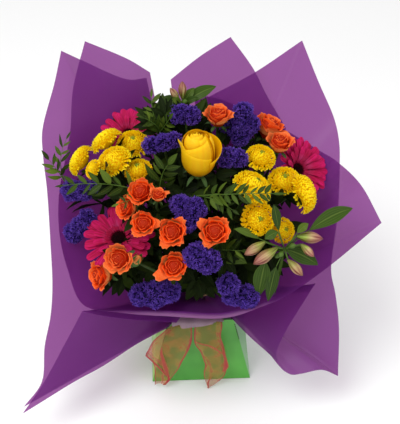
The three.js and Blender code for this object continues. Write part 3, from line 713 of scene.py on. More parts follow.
gerberaFaces = {"front": (250, 26), "back": (262, 20), "right": (318, 44)}
gerberaPose = {  # nod in degrees, shift outwards and to the right, cupping
    "front": (0, 0, 0, 0), "back": (12, 3, 6, 4), "right": (4, -9, 0, 13)}
gerbera = {"radius": 54, "height": 18, "start": 9, "rings": [  # count, reach, width, foot and tip height
    (17, 1.0, 13, 2.4, 9), (16, 0.92, 12, 3.4, 12), (13, 0.68, 10, 4.8, 15)],
    "whiskers": {"count": 40, "reach": 0.4, "start": 10, "width": 2.8, "foot": 7.5, "tip": 12.5},
    "hub": 7, "hubFoot": 4.5, "hubTop": 11, "disc": 10.4, "florets": 150, "floretTall": (1.6, 3.6)}
gerberaPetal = petalMaterial("gerbera petal", {  # strap petal: matt magenta with fine lengthwise lines
    "along": [(0, "#5a0826"), (0.1, "#a81c50"), (0.24, "#cc3a78"), (0.45, "#c80f60"), (1, "#d4146e")],
    "agedAndShaded": "#a8083e", "veins": 9, "veinShade": "#c8708c", "roughness": 0.65, "glow": 0.2, "bump": 0.5,
    "specular": 0.15})
gerberaFloret = petalMaterial("gerbera disc floret", {  # dark tubular florets with crimson tips
    "along": [(0, "#0c0405"), (0.5, "#30060f"), (1, "#8c1838")], "agedAndShaded": "#0c0405",
    "veins": 4, "veinShade": "#806060", "roughness": 0.85, "glow": 0.02, "specular": 0.05})


def addStrap(bm, a, start, reach, width, foot, tip, tone, cols=4, rows=9):
    # one strap petal: two shallow channels, a blunt notched end
    ray = polar(a, 1)
    side = Vector((-ray.y, ray.x, 0))

    def shape(u, v):
        v = v + 0.5 * v * (1 - v)
        blunt = max(v - 0.84, 0) / 0.16
        wide = width / 2 * (0.34 + 0.66 * smooth(v, 0, 0.6)) * math.sqrt(1 - 0.82 * blunt ** 2)
        notch = 0.6 * smooth(v, 0.9, 1) * math.cos(u * math.pi) ** 2
        channel = 0.55 * math.cos(u * math.pi * 1.5) * smooth(v, 0.05, 0.4)
        high = lerp(foot, tip, v * (2 - v)) + channel - abs(u) * width * 0.05
        return ray * (lerp(start, reach, v) - notch) + side * (u * wide) + up * high
    addGrid(bm, cols, rows, shape, tone)


def makeGerberas():
    hub = gerbera["hub"]
    for number, (name, face) in enumerate(gerberaFaces.items()):
        seat, way, height = seatOf("gerbera_petals_" + name, face)
        nod, shift, aside, cupping = gerberaPose[name]
        seat = seat + way * shift + pictureRight * aside
        way = turn(face[0], face[1] + nod)
        size = height / gerbera["height"]
        draw = random.Random(40 + number)
        bm = newBody()
        for ring, (count, reach, width, foot, tip) in enumerate(gerbera["rings"]):
            for k in range(count):
                a = (k + ring * 0.5) * math.tau / count + draw.uniform(-0.06, 0.06)
                long = gerbera["radius"] * reach * draw.uniform(0.93, 1.02)
                addStrap(bm, a, gerbera["start"], long, width * draw.uniform(0.9, 1.08), foot,
                         tip + cupping + draw.uniform(-2, 2.5), draw.uniform(0, 0.5))
        whiskers = gerbera["whiskers"]
        for k in range(whiskers["count"]):
            a = k * math.tau / whiskers["count"] + draw.uniform(-0.05, 0.05)
            long = gerbera["radius"] * whiskers["reach"] * draw.uniform(0.75, 1.05)
            addStrap(bm, a, whiskers["start"], long, whiskers["width"], whiskers["foot"],
                     whiskers["tip"] + draw.uniform(-1, 1), draw.uniform(0.5, 1), cols=2, rows=4)
        bmesh.ops.create_cone(bm, cap_ends=True, segments=20, radius1=gerbera["hubFoot"],
                              radius2=gerbera["hubTop"], depth=hub - 0.4,
                              matrix=Matrix.Translation((0, 0, hub / 2 - 0.1)))
        placed = standing(seat, way, number * 0.7) @ Matrix.Scale(size, 4)
        bmesh.ops.transform(bm, matrix=placed, verts=bm.verts)
        settle(bm, "gerbera_" + name, [gerberaPetal], ["gerbera_petals_" + name])
        bm = newBody()
        toneLayer = bm.verts.layers.float["tone"]
        domed = bmesh.ops.create_uvsphere(bm, u_segments=24, v_segments=8, radius=gerbera["disc"])["verts"]
        for vert in domed:
            vert.co = Vector((vert.co.x, vert.co.y, hub + 0.4 + max(vert.co.z, 0) * 0.35))
            vert[toneLayer] = 1.0
        for k in range(gerbera["florets"]):  # in a sunflower spiral, taller at the rim
            f = math.sqrt((k + 0.5) / gerbera["florets"])
            a = k * goldenAngle
            base = polar(a, f * (gerbera["disc"] - 0.2), hub + 3.4 - 2.6 * f * f)
            lean = polar(a, f * 0.5, 1).normalized()
            tall = lerp(*gerbera["floretTall"], f * f)

            def shape(u, v):
                ring = polar((u + 1) * math.pi, 0.5 * (1 - 0.5 * v))
                return base + Matrix.Rotation(a, 3, "Z") @ ring + lean * (v * tall)
            addGrid(bm, 4, 1, shape, draw.uniform(0, 0.7) * (1 - f))
        bmesh.ops.transform(bm, matrix=placed, verts=bm.verts)
        settle(bm, "gerbera_eye_" + name, [gerberaFloret], ["gerbera_disc_" + name])
        stemSeats.append((seat, way, roseCalyx * size, None))


makeGerberas()
print("gerberas ready")


# Spray chrysanthemums

chrysanthemumFaces = {"a": (150, 44), "b": (262, 14), "c": (168, 62), "d": (205, 30), "e": (230, 12),
                      "f": (300, 18), "g": (350, 28), "h": (275, 16), "i": (348, 66), "j": (285, 58),
                      "k": (310, 50), "l": (200, 56)}
chrysanthemum = {"height": 20, "florets": 400, "dome": 20.3, "high": 13, "foot": 4.5, "sink": 1.2,
                 "shortest": 3.4, "longest": 5.0, "skirt": 6.4, "width": 1.4, "bulge": 1.78,
                 "core": (5, 16.5, 10.5, 20), "bracts": 12, "ochre": {"e": 0.4, "j": 0.3, "k": 0.45},
                 "eyes": {"b": 0.17, "e": 0.2, "f": 0.15, "g": 0.13, "h": 0.2, "j": 0.16, "k": 0.18}}
chrysanthemumFloret = petalMaterial("spray chrysanthemum floret", {  # quilled floret, ochre at its foot
    "along": [(0, "#f4c400"), (0.35, "#ffe000"), (0.75, "#fff000"), (1, "#fff43c")], "agedAndShaded": "#eeb408",
    "veins": 5, "veinShade": "#fff4d8", "roughness": 0.6, "glow": 0.3, "specular": 0.1})
chrysanthemumEye = petalMaterial("green chrysanthemum eye", {  # unopened florets
    "along": [(0, "#5e7a10"), (1, "#9fb020")], "agedAndShaded": "#7d9418", "veins": 3, "veinShade": "#c0c080",
    "roughness": 0.6, "glow": 0.15})


def makeChrysanthemums():
    for number, (name, face) in enumerate(chrysanthemumFaces.items()):
        node = "chrysanthemum_" + name
        seat, way, height = seatOf(node, face)
        size = height / chrysanthemum["height"]
        draw = random.Random(70 + number)
        bm = newBody()
        count = chrysanthemum["florets"]
        ochre = chrysanthemum["ochre"].get(name, 0.04)
        for k in range(count):
            f = math.sqrt((k + 0.5) / count)
            a = k * goldenAngle + draw.uniform(-0.12, 0.12)
            fall = chrysanthemum["bulge"] * f ** 1.05  # radians down from the top of the dome
            dome, high = chrysanthemum["dome"], chrysanthemum["high"]
            out = Vector((math.sin(fall) / dome, 0, math.cos(fall) / high)).normalized()
            root = Vector((math.sin(fall) * dome, 0, chrysanthemum["foot"] + math.cos(fall) * high))
            root -= out * chrysanthemum["sink"]
            skirt = smooth(f, 0.86, 1)
            long = lerp(chrysanthemum["shortest"], chrysanthemum["longest"], f ** 1.5)
            long = lerp(long, chrysanthemum["skirt"], skirt) * draw.uniform(0.82, 1.15)
            wide = chrysanthemum["width"] * lerp(0.75, 1.15, f) * draw.uniform(0.85, 1.15)
            lean = math.atan2(out.x, out.z) + draw.uniform(-0.25, 0.25) + 0.25 * (1 - skirt)
            curl = lerp(0.9, 0.4, f) * (1 - skirt) - 0.3 * skirt
            spin = Matrix.Rotation(a, 3, "Z")

            def shape(u, v):
                bent = lean - curl * v
                ahead = Vector((math.sin(bent), 0, math.cos(bent)))
                over = Vector((-math.cos(bent), 0, math.sin(bent)))
                w = wide * (0.6 + 0.4 * smooth(v, 0, 0.5)) * (1 - 0.3 * smooth(v, 0.8, 1))
                aside = Vector((0, u * w, 0))
                return spin @ (root + ahead * (long * v) + aside + over * (0.7 * u * u * wide))
            # the outer florets, and most of all the skirt under the head, are mixed towards ochre
            ochreShare = smooth(f, 0.5, 1) * ochre * 1.6 + 0.25 * skirt + draw.uniform(-0.15, 0.12)
            unopened = f < chrysanthemum["eyes"].get(name, 0)
            addGrid(bm, 2, 3, shape, min(max(ochreShare, 0), 1), 1 if unopened else 0)
        addCore(bm, *chrysanthemum["core"])
        for ray in raysRound(chrysanthemum["bracts"]):  # behind the head
            addLeaf(bm, ray * 3, ray * 9 + up * 0.5, ray * 14 + up * 4, 6,
                    cols=2, rows=3, tone=0.5, material=2)
        placed = standing(seat, way) @ Matrix.Scale(size, 4)
        bmesh.ops.transform(bm, matrix=placed, verts=bm.verts)
        settle(bm, "mum_" + name, [chrysanthemumFloret, chrysanthemumEye, sepalLeaf],
               [node])
        stemSeats.append((seat, way, roseCalyx * size, None))


makeChrysanthemums()
print("chrysanthemums ready")


# Statice

statice = {"core": 1.0, "floret": 2.2, "deep": 3.0, "shrink": 1.8, "lump": 9, "swell": 3.2, "apart": 1.05,
           "cuts": 2, "rounds": 4, "stalkWide": 4, "stalkLong": 6, "frill": 3}
# each floret is painted darker violet at its foot as shade deep in the head, and paler at its frill as painted
# highlight
staticeFloret = petalMaterial("statice calyx", {  # papery ruffled calyx, violet with a paler frill, painted light and shade
    "along": [(0, "#1c0b44"), (0.45, "#47218e"), (1, "#8460cc")], "agedAndShaded": "#42207c",
    "veins": 5, "veinShade": "#b0a4e0", "roughness": 0.75, "glow": 0.2, "specular": 0.2})


def makeStatice():
    for number, name in enumerate("abcdefghij"):
        node = "statice_" + name
        draw = random.Random(200 + number)
        core = bmesh.new()
        core.from_mesh(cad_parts[node].data)
        back = Matrix.Translation((-bunchOffset, 0, 0)) @ Matrix.Scale(1 / mm, 4)
        bmesh.ops.transform(core, matrix=back, verts=core.verts)
        bmesh.ops.remove_doubles(core, verts=core.verts, dist=0.01)
        low = min(core.verts, key=lambda v: (v.co - stemFan).length).co.copy()
        way = (low - stemFan).normalized()
        stalk = [v for v in core.verts if (v.co - low).cross(way).length < statice["stalkWide"]
                 and (v.co - low).length < statice["stalkLong"]]
        bmesh.ops.delete(core, geom=stalk, context="VERTS")
        bmesh.ops.subdivide_edges(core, edges=core.edges, cuts=statice["cuts"], use_grid_fill=True)
        for _ in range(statice["rounds"]):
            bmesh.ops.smooth_vert(core, verts=core.verts, factor=0.5, use_axis_x=True, use_axis_y=True,
                                  use_axis_z=True)
        core.normal_update()
        for vert in core.verts:  # knots of florets, not smooth lobes
            vert.co += vert.normal * (noise.noise(vert.co / statice["lump"]) * statice["swell"])
        core.normal_update()
        spots = [(v.co.copy(), v.normal.copy()) for v in core.verts if v.normal.length > 0.5]
        bm = newBody()
        # a shrunken copy stays inside as a core, in the florets' darkest foot colour, which is painted shade
        for vert in core.verts:
            vert.co -= vert.normal * statice["shrink"]
        inside = bpy.data.meshes.new("core")
        core.to_mesh(inside)
        core.free()
        bm.from_mesh(inside)
        bpy.data.meshes.remove(inside)
        kept = []
        for place, normal in spots:
            if all((place - other).length > statice["floret"] * statice["apart"] for other, _ in kept):
                kept.append((place, normal))
        for place, normal in kept:
            lean = (normal + Vector([draw.uniform(-0.6, 0.6) for _ in range(3)])).normalized()
            size = statice["floret"] * draw.uniform(0.7, 1.25)
            deep = statice["deep"] * draw.uniform(0.8, 1.6)
            tilt = standing(place - normal * statice["core"], lean, draw.uniform(0, math.tau))
            tone = draw.uniform(0, 0.6)

            def shape(u, v):
                a = (u + 1) * math.pi
                frill = math.cos(a * statice["frill"])
                r = size * (0.25 + 0.75 * v) * (1 + 0.3 * frill * v)
                return tilt @ polar(a, r, v * deep * (1 + 0.2 * frill))
            addGrid(bm, 6, 1, shape, tone)
        middle = sum((place for place, _ in kept), Vector()) / len(kept)
        addTubes(bm, [[(low, 1.7), (low.lerp(middle, 0.5), 1.5), (middle, 1.2)]], tone=0.4, material=1)
        stemSeats.append((low, way, thinCalyx, None))
        settle(bm, "statice_head_" + name, [staticeFloret, stemSkin], [node])
        print(node, "florets", len(kept))


makeStatice()
print("statice ready")


# Alstroemeria

lilyHub = (0, 0, 0)
# placed from the hub: foot and tip of each bud, tip of each young one, and foot, tip and width of each leaf
alstroemerias = {
    "front": {
        "at": (118, -136, 312),
        "buds": [((-28, -2, 14), (-57, -12, -1)), ((-11, -6, 7), (-45, -28, -5)),
                 ((16, 6, 18), (54, 8, 12)), ((22, -2, 10), (40, -14, -3)), ((4, -14, -8), (24, -32, -22))],
        "young": [(14, -8, 14), (-8, -13, -3), (-14, -10, -8)],
        "leaves": [((34, 14, 22), (98, 48, 36), 19), ((-27, -14, -10), (-35, -14, -74), 21),
                   ((-12, -16, -18), (-21, -18, -80), 15), (lilyHub, (48, -4, -25), 20),
                   ((-10, 0, 32), (-19, 0, 76), 11), ((16, 2, 26), (31, 6, 40), 10),
                   (lilyHub, (-12, -18, -70), 4), ((-11, 0, 30), (-29, -6, 22), 12),
                   ((-36, 0, 18), (-72, -4, 38), 9)],
    },
    "top": {
        "at": (-26, 44, 442),
        "buds": [((0, 0.5, 10), (0, 2, 38)), ((-5, 1, 7), (-18, 4, 26))],
        "young": [(6, -8, 12)],
        "leaves": [(lilyHub, (50, 16, 22), 16), (lilyHub, (-36, 8, 2), 16), (lilyHub, (18, 8, 24), 11),
                   (lilyHub, (24, -4, 14), 9), (lilyHub, (-16, -6, 14), 9)],
    },
}
lilyBud = {"longest": 36, "radius": 6.9, "neck": 1.8, "young": 3.4, "youngNeck": 0.8, "stalk": 14}
plainLeaf = {"widen": 1.16, "rise": 0.14}
budSkin = petalMaterial("alstroemeria bud", {  # waxy closed bud: green foot and tip, dusky rose stripes
    "along": [(0, "#5f8420"), (0.3, "#98ac48"), (0.5, "#c0a878"), (0.8, "#b0706a"), (1, "#80403c")],
    "agedAndShaded": "#a09058", "veins": 13, "veinShade": "#8c2c48", "roughness": 0.42, "glow": 0.1,
    "specular": 0.2})
lilyLeaf = leafMaterial("alstroemeria leaf", {  # long leaf with parallel veins, a little gloss
    "greens": [(0, "#20380e"), (0.5, "#385214"), (1, "#566c1e")], "vein": "#72883a", "rib": 0.02,
    "veins": 44, "roughness": 0.45, "specular": 0.14})


def addPlainLeaf(bm, foot, tip, width, tone, material=0, **form):
    bend = foot.lerp(tip, 0.5) + up * (tip - foot).length * plainLeaf["rise"]
    addLeaf(bm, foot, bend, tip, width * plainLeaf["widen"], cols=6, rows=12, tone=tone, material=material,
            rise=viewed, **form)


def makeAlstroemerias():
    for number, (name, umbel) in enumerate(alstroemerias.items()):
        draw = random.Random(300 + number)
        hub = Vector(umbel["at"])
        way = (hub - stemFan).normalized()
        bm = newBody()
        stalks = [[(hub - way * lilyBud["stalk"], 1.8), (hub, 1.9)]]
        for foot, tip in umbel["buds"]:
            foot, tip = hub + Vector(foot), hub + Vector(tip)
            stalks.append([(hub, 1.3), (foot, 1.2)])
            size = min((tip - foot).length / lilyBud["longest"], 1.1)
            addBud(bm, foot, tip, lilyBud["radius"] * size, lilyBud["neck"], draw.uniform(0, 0.5))
        for tip in umbel["young"]:
            reach = Vector(tip)
            stalks.append([(hub, 0.9), (hub + reach * 0.4, 0.8)])
            addBud(bm, hub + reach * 0.35, hub + reach, lilyBud["young"], lilyBud["youngNeck"],
                   draw.uniform(0.5, 1), 2)
        for foot, tip, width in umbel["leaves"]:
            if foot != lilyHub:
                stalks.append([(hub, 1.0), (hub + Vector(foot), 0.7)])
            addPlainLeaf(bm, hub + Vector(foot), hub + Vector(tip), width, draw.random(), 1,
                         wave=0.6, widest=0.5)
        addTubes(bm, stalks, tone=0.6, material=2)
        settle(bm, "lily_" + name, [budSkin, lilyLeaf, stemSkin], ["alstroemeria_" + name],
               sewn=True)
        stemSeats.append((hub - way * lilyBud["stalk"], way, thinCalyx, None))


makeAlstroemerias()
print("alstroemerias ready")


# Greens

greens = {  # fronds by bend, tip, pairs of leaflets, leaflet, bare share of the stalk, and plain leaves
    "left": {"root": (-58, -74, 350), "fronds": [
        ((-100, -98, 406), (-188, -102, 396), 6, 26, 0.36), ((-58, -84, 400), (-44, -84, 418), 4, 30, 0.3),
        ((-70, -96, 380), (-112, -118, 376), 5, 18, 0.3)]},
    "tips": {"root": (-202, -12, 346), "fronds": [
        ((-208, -14, 362), (-220, -16, 384), 3, 22, 0.22),
        ((-212, -2, 376), (-196, 10, 404), 4, 20, 0.22)]},
    "back": {"root": (-58, 6, 418), "fronds": [
        ((-70, 8, 445), (-70, 26, 464), 5, 24, 0.1, up), ((-62, -6, 440), (-78, -8, 448), 4, 22, 0.1),
        ((-50, -6, 436), (-44, -10, 448), 4, 20, 0.1)],
        "leaves": [((-92, 22, 440), 16), ((-54, 36, 466), 14)]},
    "right": {"root": (-4, -92, 372), "fronds": [
        ((36, -134, 404), (98, -134, 404), 9, 20, 0.25), ((20, -112, 384), (44, -126, 372), 5, 20, 0.2)]},
    "low": {"root": (16, -110, 290), "fronds": [((30, -128, 306), (58, -140, 312), 4, 22, 0.2)],
            "leaves": [((66, -138, 288), 24), ((44, -130, 330), 20), ((-10, -134, 316), 16)]},
}
frondLook = {"slim": 0.32, "ahead": 0.66, "aside": 0.78, "stalk": 10, "tubeSteps": 10}
frondLeaf = leafMaterial("pistache leaflet", {  # thin leaflet, matt olive green with a fine midrib
    "greens": [(0, "#1a2a0a"), (0.6, "#344a12"), (1, "#5e7424")], "vein": "#6c8030", "rib": 0.03,
    "slant": 0.5, "veins": 45, "roughness": 0.5, "specular": 0.12})
broadLeaf = leafMaterial("dark filler leaf", {  # leathery leaf, painted near black as shade deep in the bunch
    "greens": [(0, "#0b1205"), (0.6, "#172208"), (1, "#30420f")], "vein": "#2c3c14", "rib": 0.03,
    "slant": 0.6, "veins": 40, "roughness": 0.5, "specular": 0.05})


def addFrond(bm, draw, root, bend, tip, pairs, leaflet, bare, rise=viewed):
    bend = Vector(bend)
    tip = Vector(tip)
    steps = frondLook["tubeSteps"]
    rib = [(bezier(root, bend, tip, k / steps), lerp(0.9, 0.35, k / steps)) for k in range(steps + 1)]
    addTubes(bm, [rib], tone=0.8, material=1)
    for k, side in [(k, side) for k in range(pairs) for side in (-1, 1)] + [(pairs, 0)]:
        t = min(lerp(bare, 1, (k + 0.12 * side) / pairs), 0.99)
        ahead = bezierWay(root, bend, tip, t)
        across = ahead.cross(rise).normalized()
        over = across.cross(ahead)
        long = leaflet * (1 - 0.3 * k / pairs) * draw.uniform(0.75, 1.25)
        way = (ahead * (frondLook["ahead"] if side else 1) * draw.uniform(0.5, 1.5)
               + across * side * frondLook["aside"] + over * draw.uniform(-0.6, 0.4)).normalized()
        foot = bezier(root, bend, tip, t)
        sweep = ahead * draw.uniform(-0.1, 0.2) * long
        addLeaf(bm, foot, foot + way * long * 0.5 + over * long * 0.1, foot + way * long + sweep,
                long * frondLook["slim"] * draw.uniform(0.8, 1.2), cols=2, rows=6,
                rise=over + across * draw.uniform(-0.7, 0.7), tone=draw.random())


def makeGreens():
    for number, (name, spray) in enumerate(greens.items()):
        draw = random.Random(400 + number)
        root = Vector(spray["root"])
        way = (root - stemFan).normalized()
        bm = newBody()
        addTubes(bm, [[(root - way * frondLook["stalk"], 1.8), (root, 1.2)]], tone=0.7, material=1)
        for frond in spray["fronds"]:
            addFrond(bm, draw, root, *frond)
        for tip, width in spray.get("leaves", ()):
            addPlainLeaf(bm, root, Vector(tip), width, draw.uniform(0, 0.7), wave=0.5)
        settle(bm, "foliage_" + name, [frondLeaf, stemSkin], ["greens_" + name])
        stemSeats.append((root - way * frondLook["stalk"], way, thinCalyx, None))


makeGreens()
print("greens ready")


# Stems, with the leaves that fill the bunch

stemRun = {"bundle": 14.8, "radius": 2.0, "root": 46, "water": 19, "spread": 21, "twist": 0.9, "steps": 5,
           "lean": 0.1, "straight": 12}
filler = {"each": 3, "near": 16, "far": 70, "long": (32, 52), "width": 0.42}  # leaves below each bloom
# these leaves, painted near black, also fill the shade between the blooms
leafyStalks = {  # stalks of dark leaves between the blooms, by where they end
    "ends": [(-12, 18, 408), (12, 62, 404), (-42, 48, 402), (44, 56, 398), (-86, 62, 372), (84, 66, 372),
             (-136, 16, 346), (124, -22, 338), (22, -58, 384), (-24, -38, 386), (66, -58, 356),
             (-54, -92, 340), (48, -108, 336), (-4, -112, 318), (-96, -58, 340), (96, -88, 306),
             (-124, -62, 300), (-64, -104, 262), (62, -106, 262), (0, -118, 262), (-24, -70, 364),
             (-140, -30, 372), (-30, -128, 284), (34, -128, 290), (-96, -110, 262), (98, -112, 272),
             (0, 0, 380), (-60, -20, 372), (60, 0, 372), (-40, 56, 424), (-34, 48, 400), (-31, 38, 372),
             (-38, 28, 350), (-27, 10, 334), (-46, 58, 414), (50, -90, 272), (67, -80, 300),
             (46, -80, 300), (92, -80, 292), (68, -100, 246)],
    "leaves": 13, "crown": 6, "bare": 0.3, "long": (34, 50), "width": 0.4, "radius": 1.5,
    "root": 6, "belly": 14, "steps": 8}
leafClumps = [  # fans over the front: middle, count, middle angle and spread in the picture, length, width
    ((-59, 8, 420), 9, 120, 150, (26, 40), 10), ((-66, 6, 436), 8, 140, 160, (24, 36), 10),
    ((-50, 10, 444), 7, 90, 150, (22, 34), 9), ((-16, 24, 424), 6, 80, 110, (30, 46), 13),
    ((2, 24, 424), 5, 60, 80, (28, 44), 13), ((-40, 20, 404), 8, 250, 200, (28, 40), 13),
    ((-30, 0, 380), 9, 260, 220, (28, 42), 14), ((-2, -126, 252), 8, 270, 170, (26, 40), 17),
    ((24, -124, 250), 8, 290, 170, (26, 40), 17), ((-62, -120, 268), 7, 250, 160, (26, 38), 15),
    ((-104, -108, 272), 7, 230, 180, (24, 36), 14), ((72, -104, 262), 8, 270, 200, (28, 42), 16),
    ((56, -92, 300), 8, 270, 300, (26, 40), 15), ((-100, -60, 352), 8, 270, 300, (24, 38), 12),
    ((-36, -20, 392), 8, 270, 300, (24, 40), 13), ((-136, -44, 344), 8, 110, 200, (22, 34), 13),
    ((-112, -116, 246), 8, 250, 200, (22, 34), 14), ((-82, -96, 300), 9, 270, 320, (24, 38), 14),
    ((60, -84, 330), 8, 270, 320, (24, 38), 13), ((26, -106, 280), 8, 270, 320, (26, 40), 15),
    ((44, -48, 362), 8, 270, 320, (24, 38), 12), ((-40, -134, 280), 8, 290, 320, (20, 32), 12),
    ((-14, -84, 356), 7, 270, 320, (22, 34), 12), ((80, -70, 316), 7, 270, 320, (24, 36), 13),
]


def stalkTo(tip, routes):
    # a leafy stalk from the tie to its tip; gives back its foot and its bend
    root = Vector((tip.x * stemRun["lean"], tip.y * stemRun["lean"], gathers + leafyStalks["root"]))
    bend = root.lerp(tip, 0.5) + up * leafyStalks["belly"]
    steps = leafyStalks["steps"]
    routes.append([(bezier(root, bend, tip, k / steps), leafyStalks["radius"]) for k in range(steps + 1)])
    return root, bend


def addDarkLeaf(bm, start, out, long, width, lift, rise, tone, rows=7, drop=0):
    addLeaf(bm, start, start + out * long * 0.5 + lift, start + out * long - up * drop, width, rows=rows,
            rise=rise, tone=tone, material=1, wave=0.4)


def addStemLeaves(bm, draw, seat, way):
    side = way.cross(up).normalized() if abs(way.z) < 0.99 else Vector((1, 0, 0))
    for k in range(filler["each"]):
        d = lerp(filler["near"], filler["far"], (k + draw.random()) / filler["each"])
        long = draw.uniform(*filler["long"])
        spin = Matrix.Rotation(draw.uniform(0, math.tau), 3, way)
        out = (spin @ side * draw.uniform(0.6, 1) + way * draw.uniform(0.25, 0.75)).normalized()
        addDarkLeaf(bm, seat - way * d, out, long, long * filler["width"], way * long * 0.12, way,
                    draw.uniform(0, 0.8))


def addLeafyStalk(bm, draw, tip, routes):
    root, bend = stalkTo(tip, routes)
    for k in range(leafyStalks["leaves"]):
        t = lerp(leafyStalks["bare"], 1, (k + 0.5) / leafyStalks["leaves"])
        way = bezierWay(root, bend, tip, t)
        side = way.cross(Vector((0, 1, 0))).normalized()
        spin = Matrix.Rotation(k * petalTurn + draw.uniform(-0.4, 0.4), 3, way)
        out = (spin @ side + way * 0.7).normalized()
        long = draw.uniform(*leafyStalks["long"]) * (1 - 0.35 * t)
        addDarkLeaf(bm, bezier(root, bend, tip, t), out, long, long * leafyStalks["width"],
                    way * long * 0.1, way + viewed, draw.uniform(0, 0.9))
    for k in range(leafyStalks["crown"]):
        out = (inPicture(draw.uniform(0, math.tau)) + viewed * 0.2).normalized()
        long = draw.uniform(*leafyStalks["long"]) * 0.7
        addDarkLeaf(bm, tip, out, long, long * leafyStalks["width"], viewed * 3, viewed,
                    draw.uniform(0, 0.8), rows=8, drop=4)


def addClump(bm, draw, clump, routes):
    middle, count, facing, spread, lengths, width = clump
    tip = Vector(middle)
    stalkTo(tip, routes)
    for k in range(count):
        angle = math.radians(facing + spread * ((k + 0.5) / count - 0.5) + draw.uniform(-8, 8))
        out = (inPicture(angle) + viewed * draw.uniform(-0.3, 0.2)).normalized()
        long = draw.uniform(*lengths)
        start = tip - viewed * draw.uniform(0, 8)
        addDarkLeaf(bm, start, out, long, width, viewed * long * 0.08,
                    viewed + out * draw.uniform(-0.3, 0.3), draw.uniform(0.2, 1), rows=8)


def makeStems():
    draw = random.Random(500)
    ranked = sorted(stemSeats, key=lambda s: math.hypot(s[0].x, s[0].y) / (s[0].z - gathers))
    routes = []
    bm = newBody()
    for rank, (seat, way, calyx, via) in enumerate(ranked):
        share = math.sqrt((rank + 0.5) / len(ranked))
        a = math.atan2(seat.y, seat.x)
        footHeight = stemRun["water"] + 3 * (rank % 3)  # stems aren't cut to one length
        foot = polar(a + stemRun["twist"] + math.pi, stemRun["spread"] * share, footHeight)
        atTie = polar(a, stemRun["bundle"] * share, gathers)
        root = Vector((seat.x * stemRun["lean"], seat.y * stemRun["lean"], gathers + stemRun["root"]))
        below = seat - way * (calyx * 1.6 + stemRun["straight"])
        points = [foot, atTie, root] + ([Vector(via)] if via else []) + [below, seat]
        routes.append([(p, stemRun["radius"]) for p in splinePoints(points, stemRun["steps"])])
        if calyx > thinCalyx:
            addBud(bm, seat - way * calyx * 1.5, seat + way * calyx * 0.4, calyx * 0.95,
                   stemRun["radius"], 0.7)
        addStemLeaves(bm, draw, seat, way)
    for end in leafyStalks["ends"]:
        addLeafyStalk(bm, draw, Vector(end), routes)
    for clump in leafClumps:
        addClump(bm, draw, clump, routes)
    # the stems of the bunch take the darkest green, painted shade
    addTubes(bm, routes, tone=0.1)
    settle(bm, "stem_bunch", [stemSkin, broadLeaf], ["stems"])


makeStems()
print("stems ready", len(stemSeats))


# Ribbon and tongue

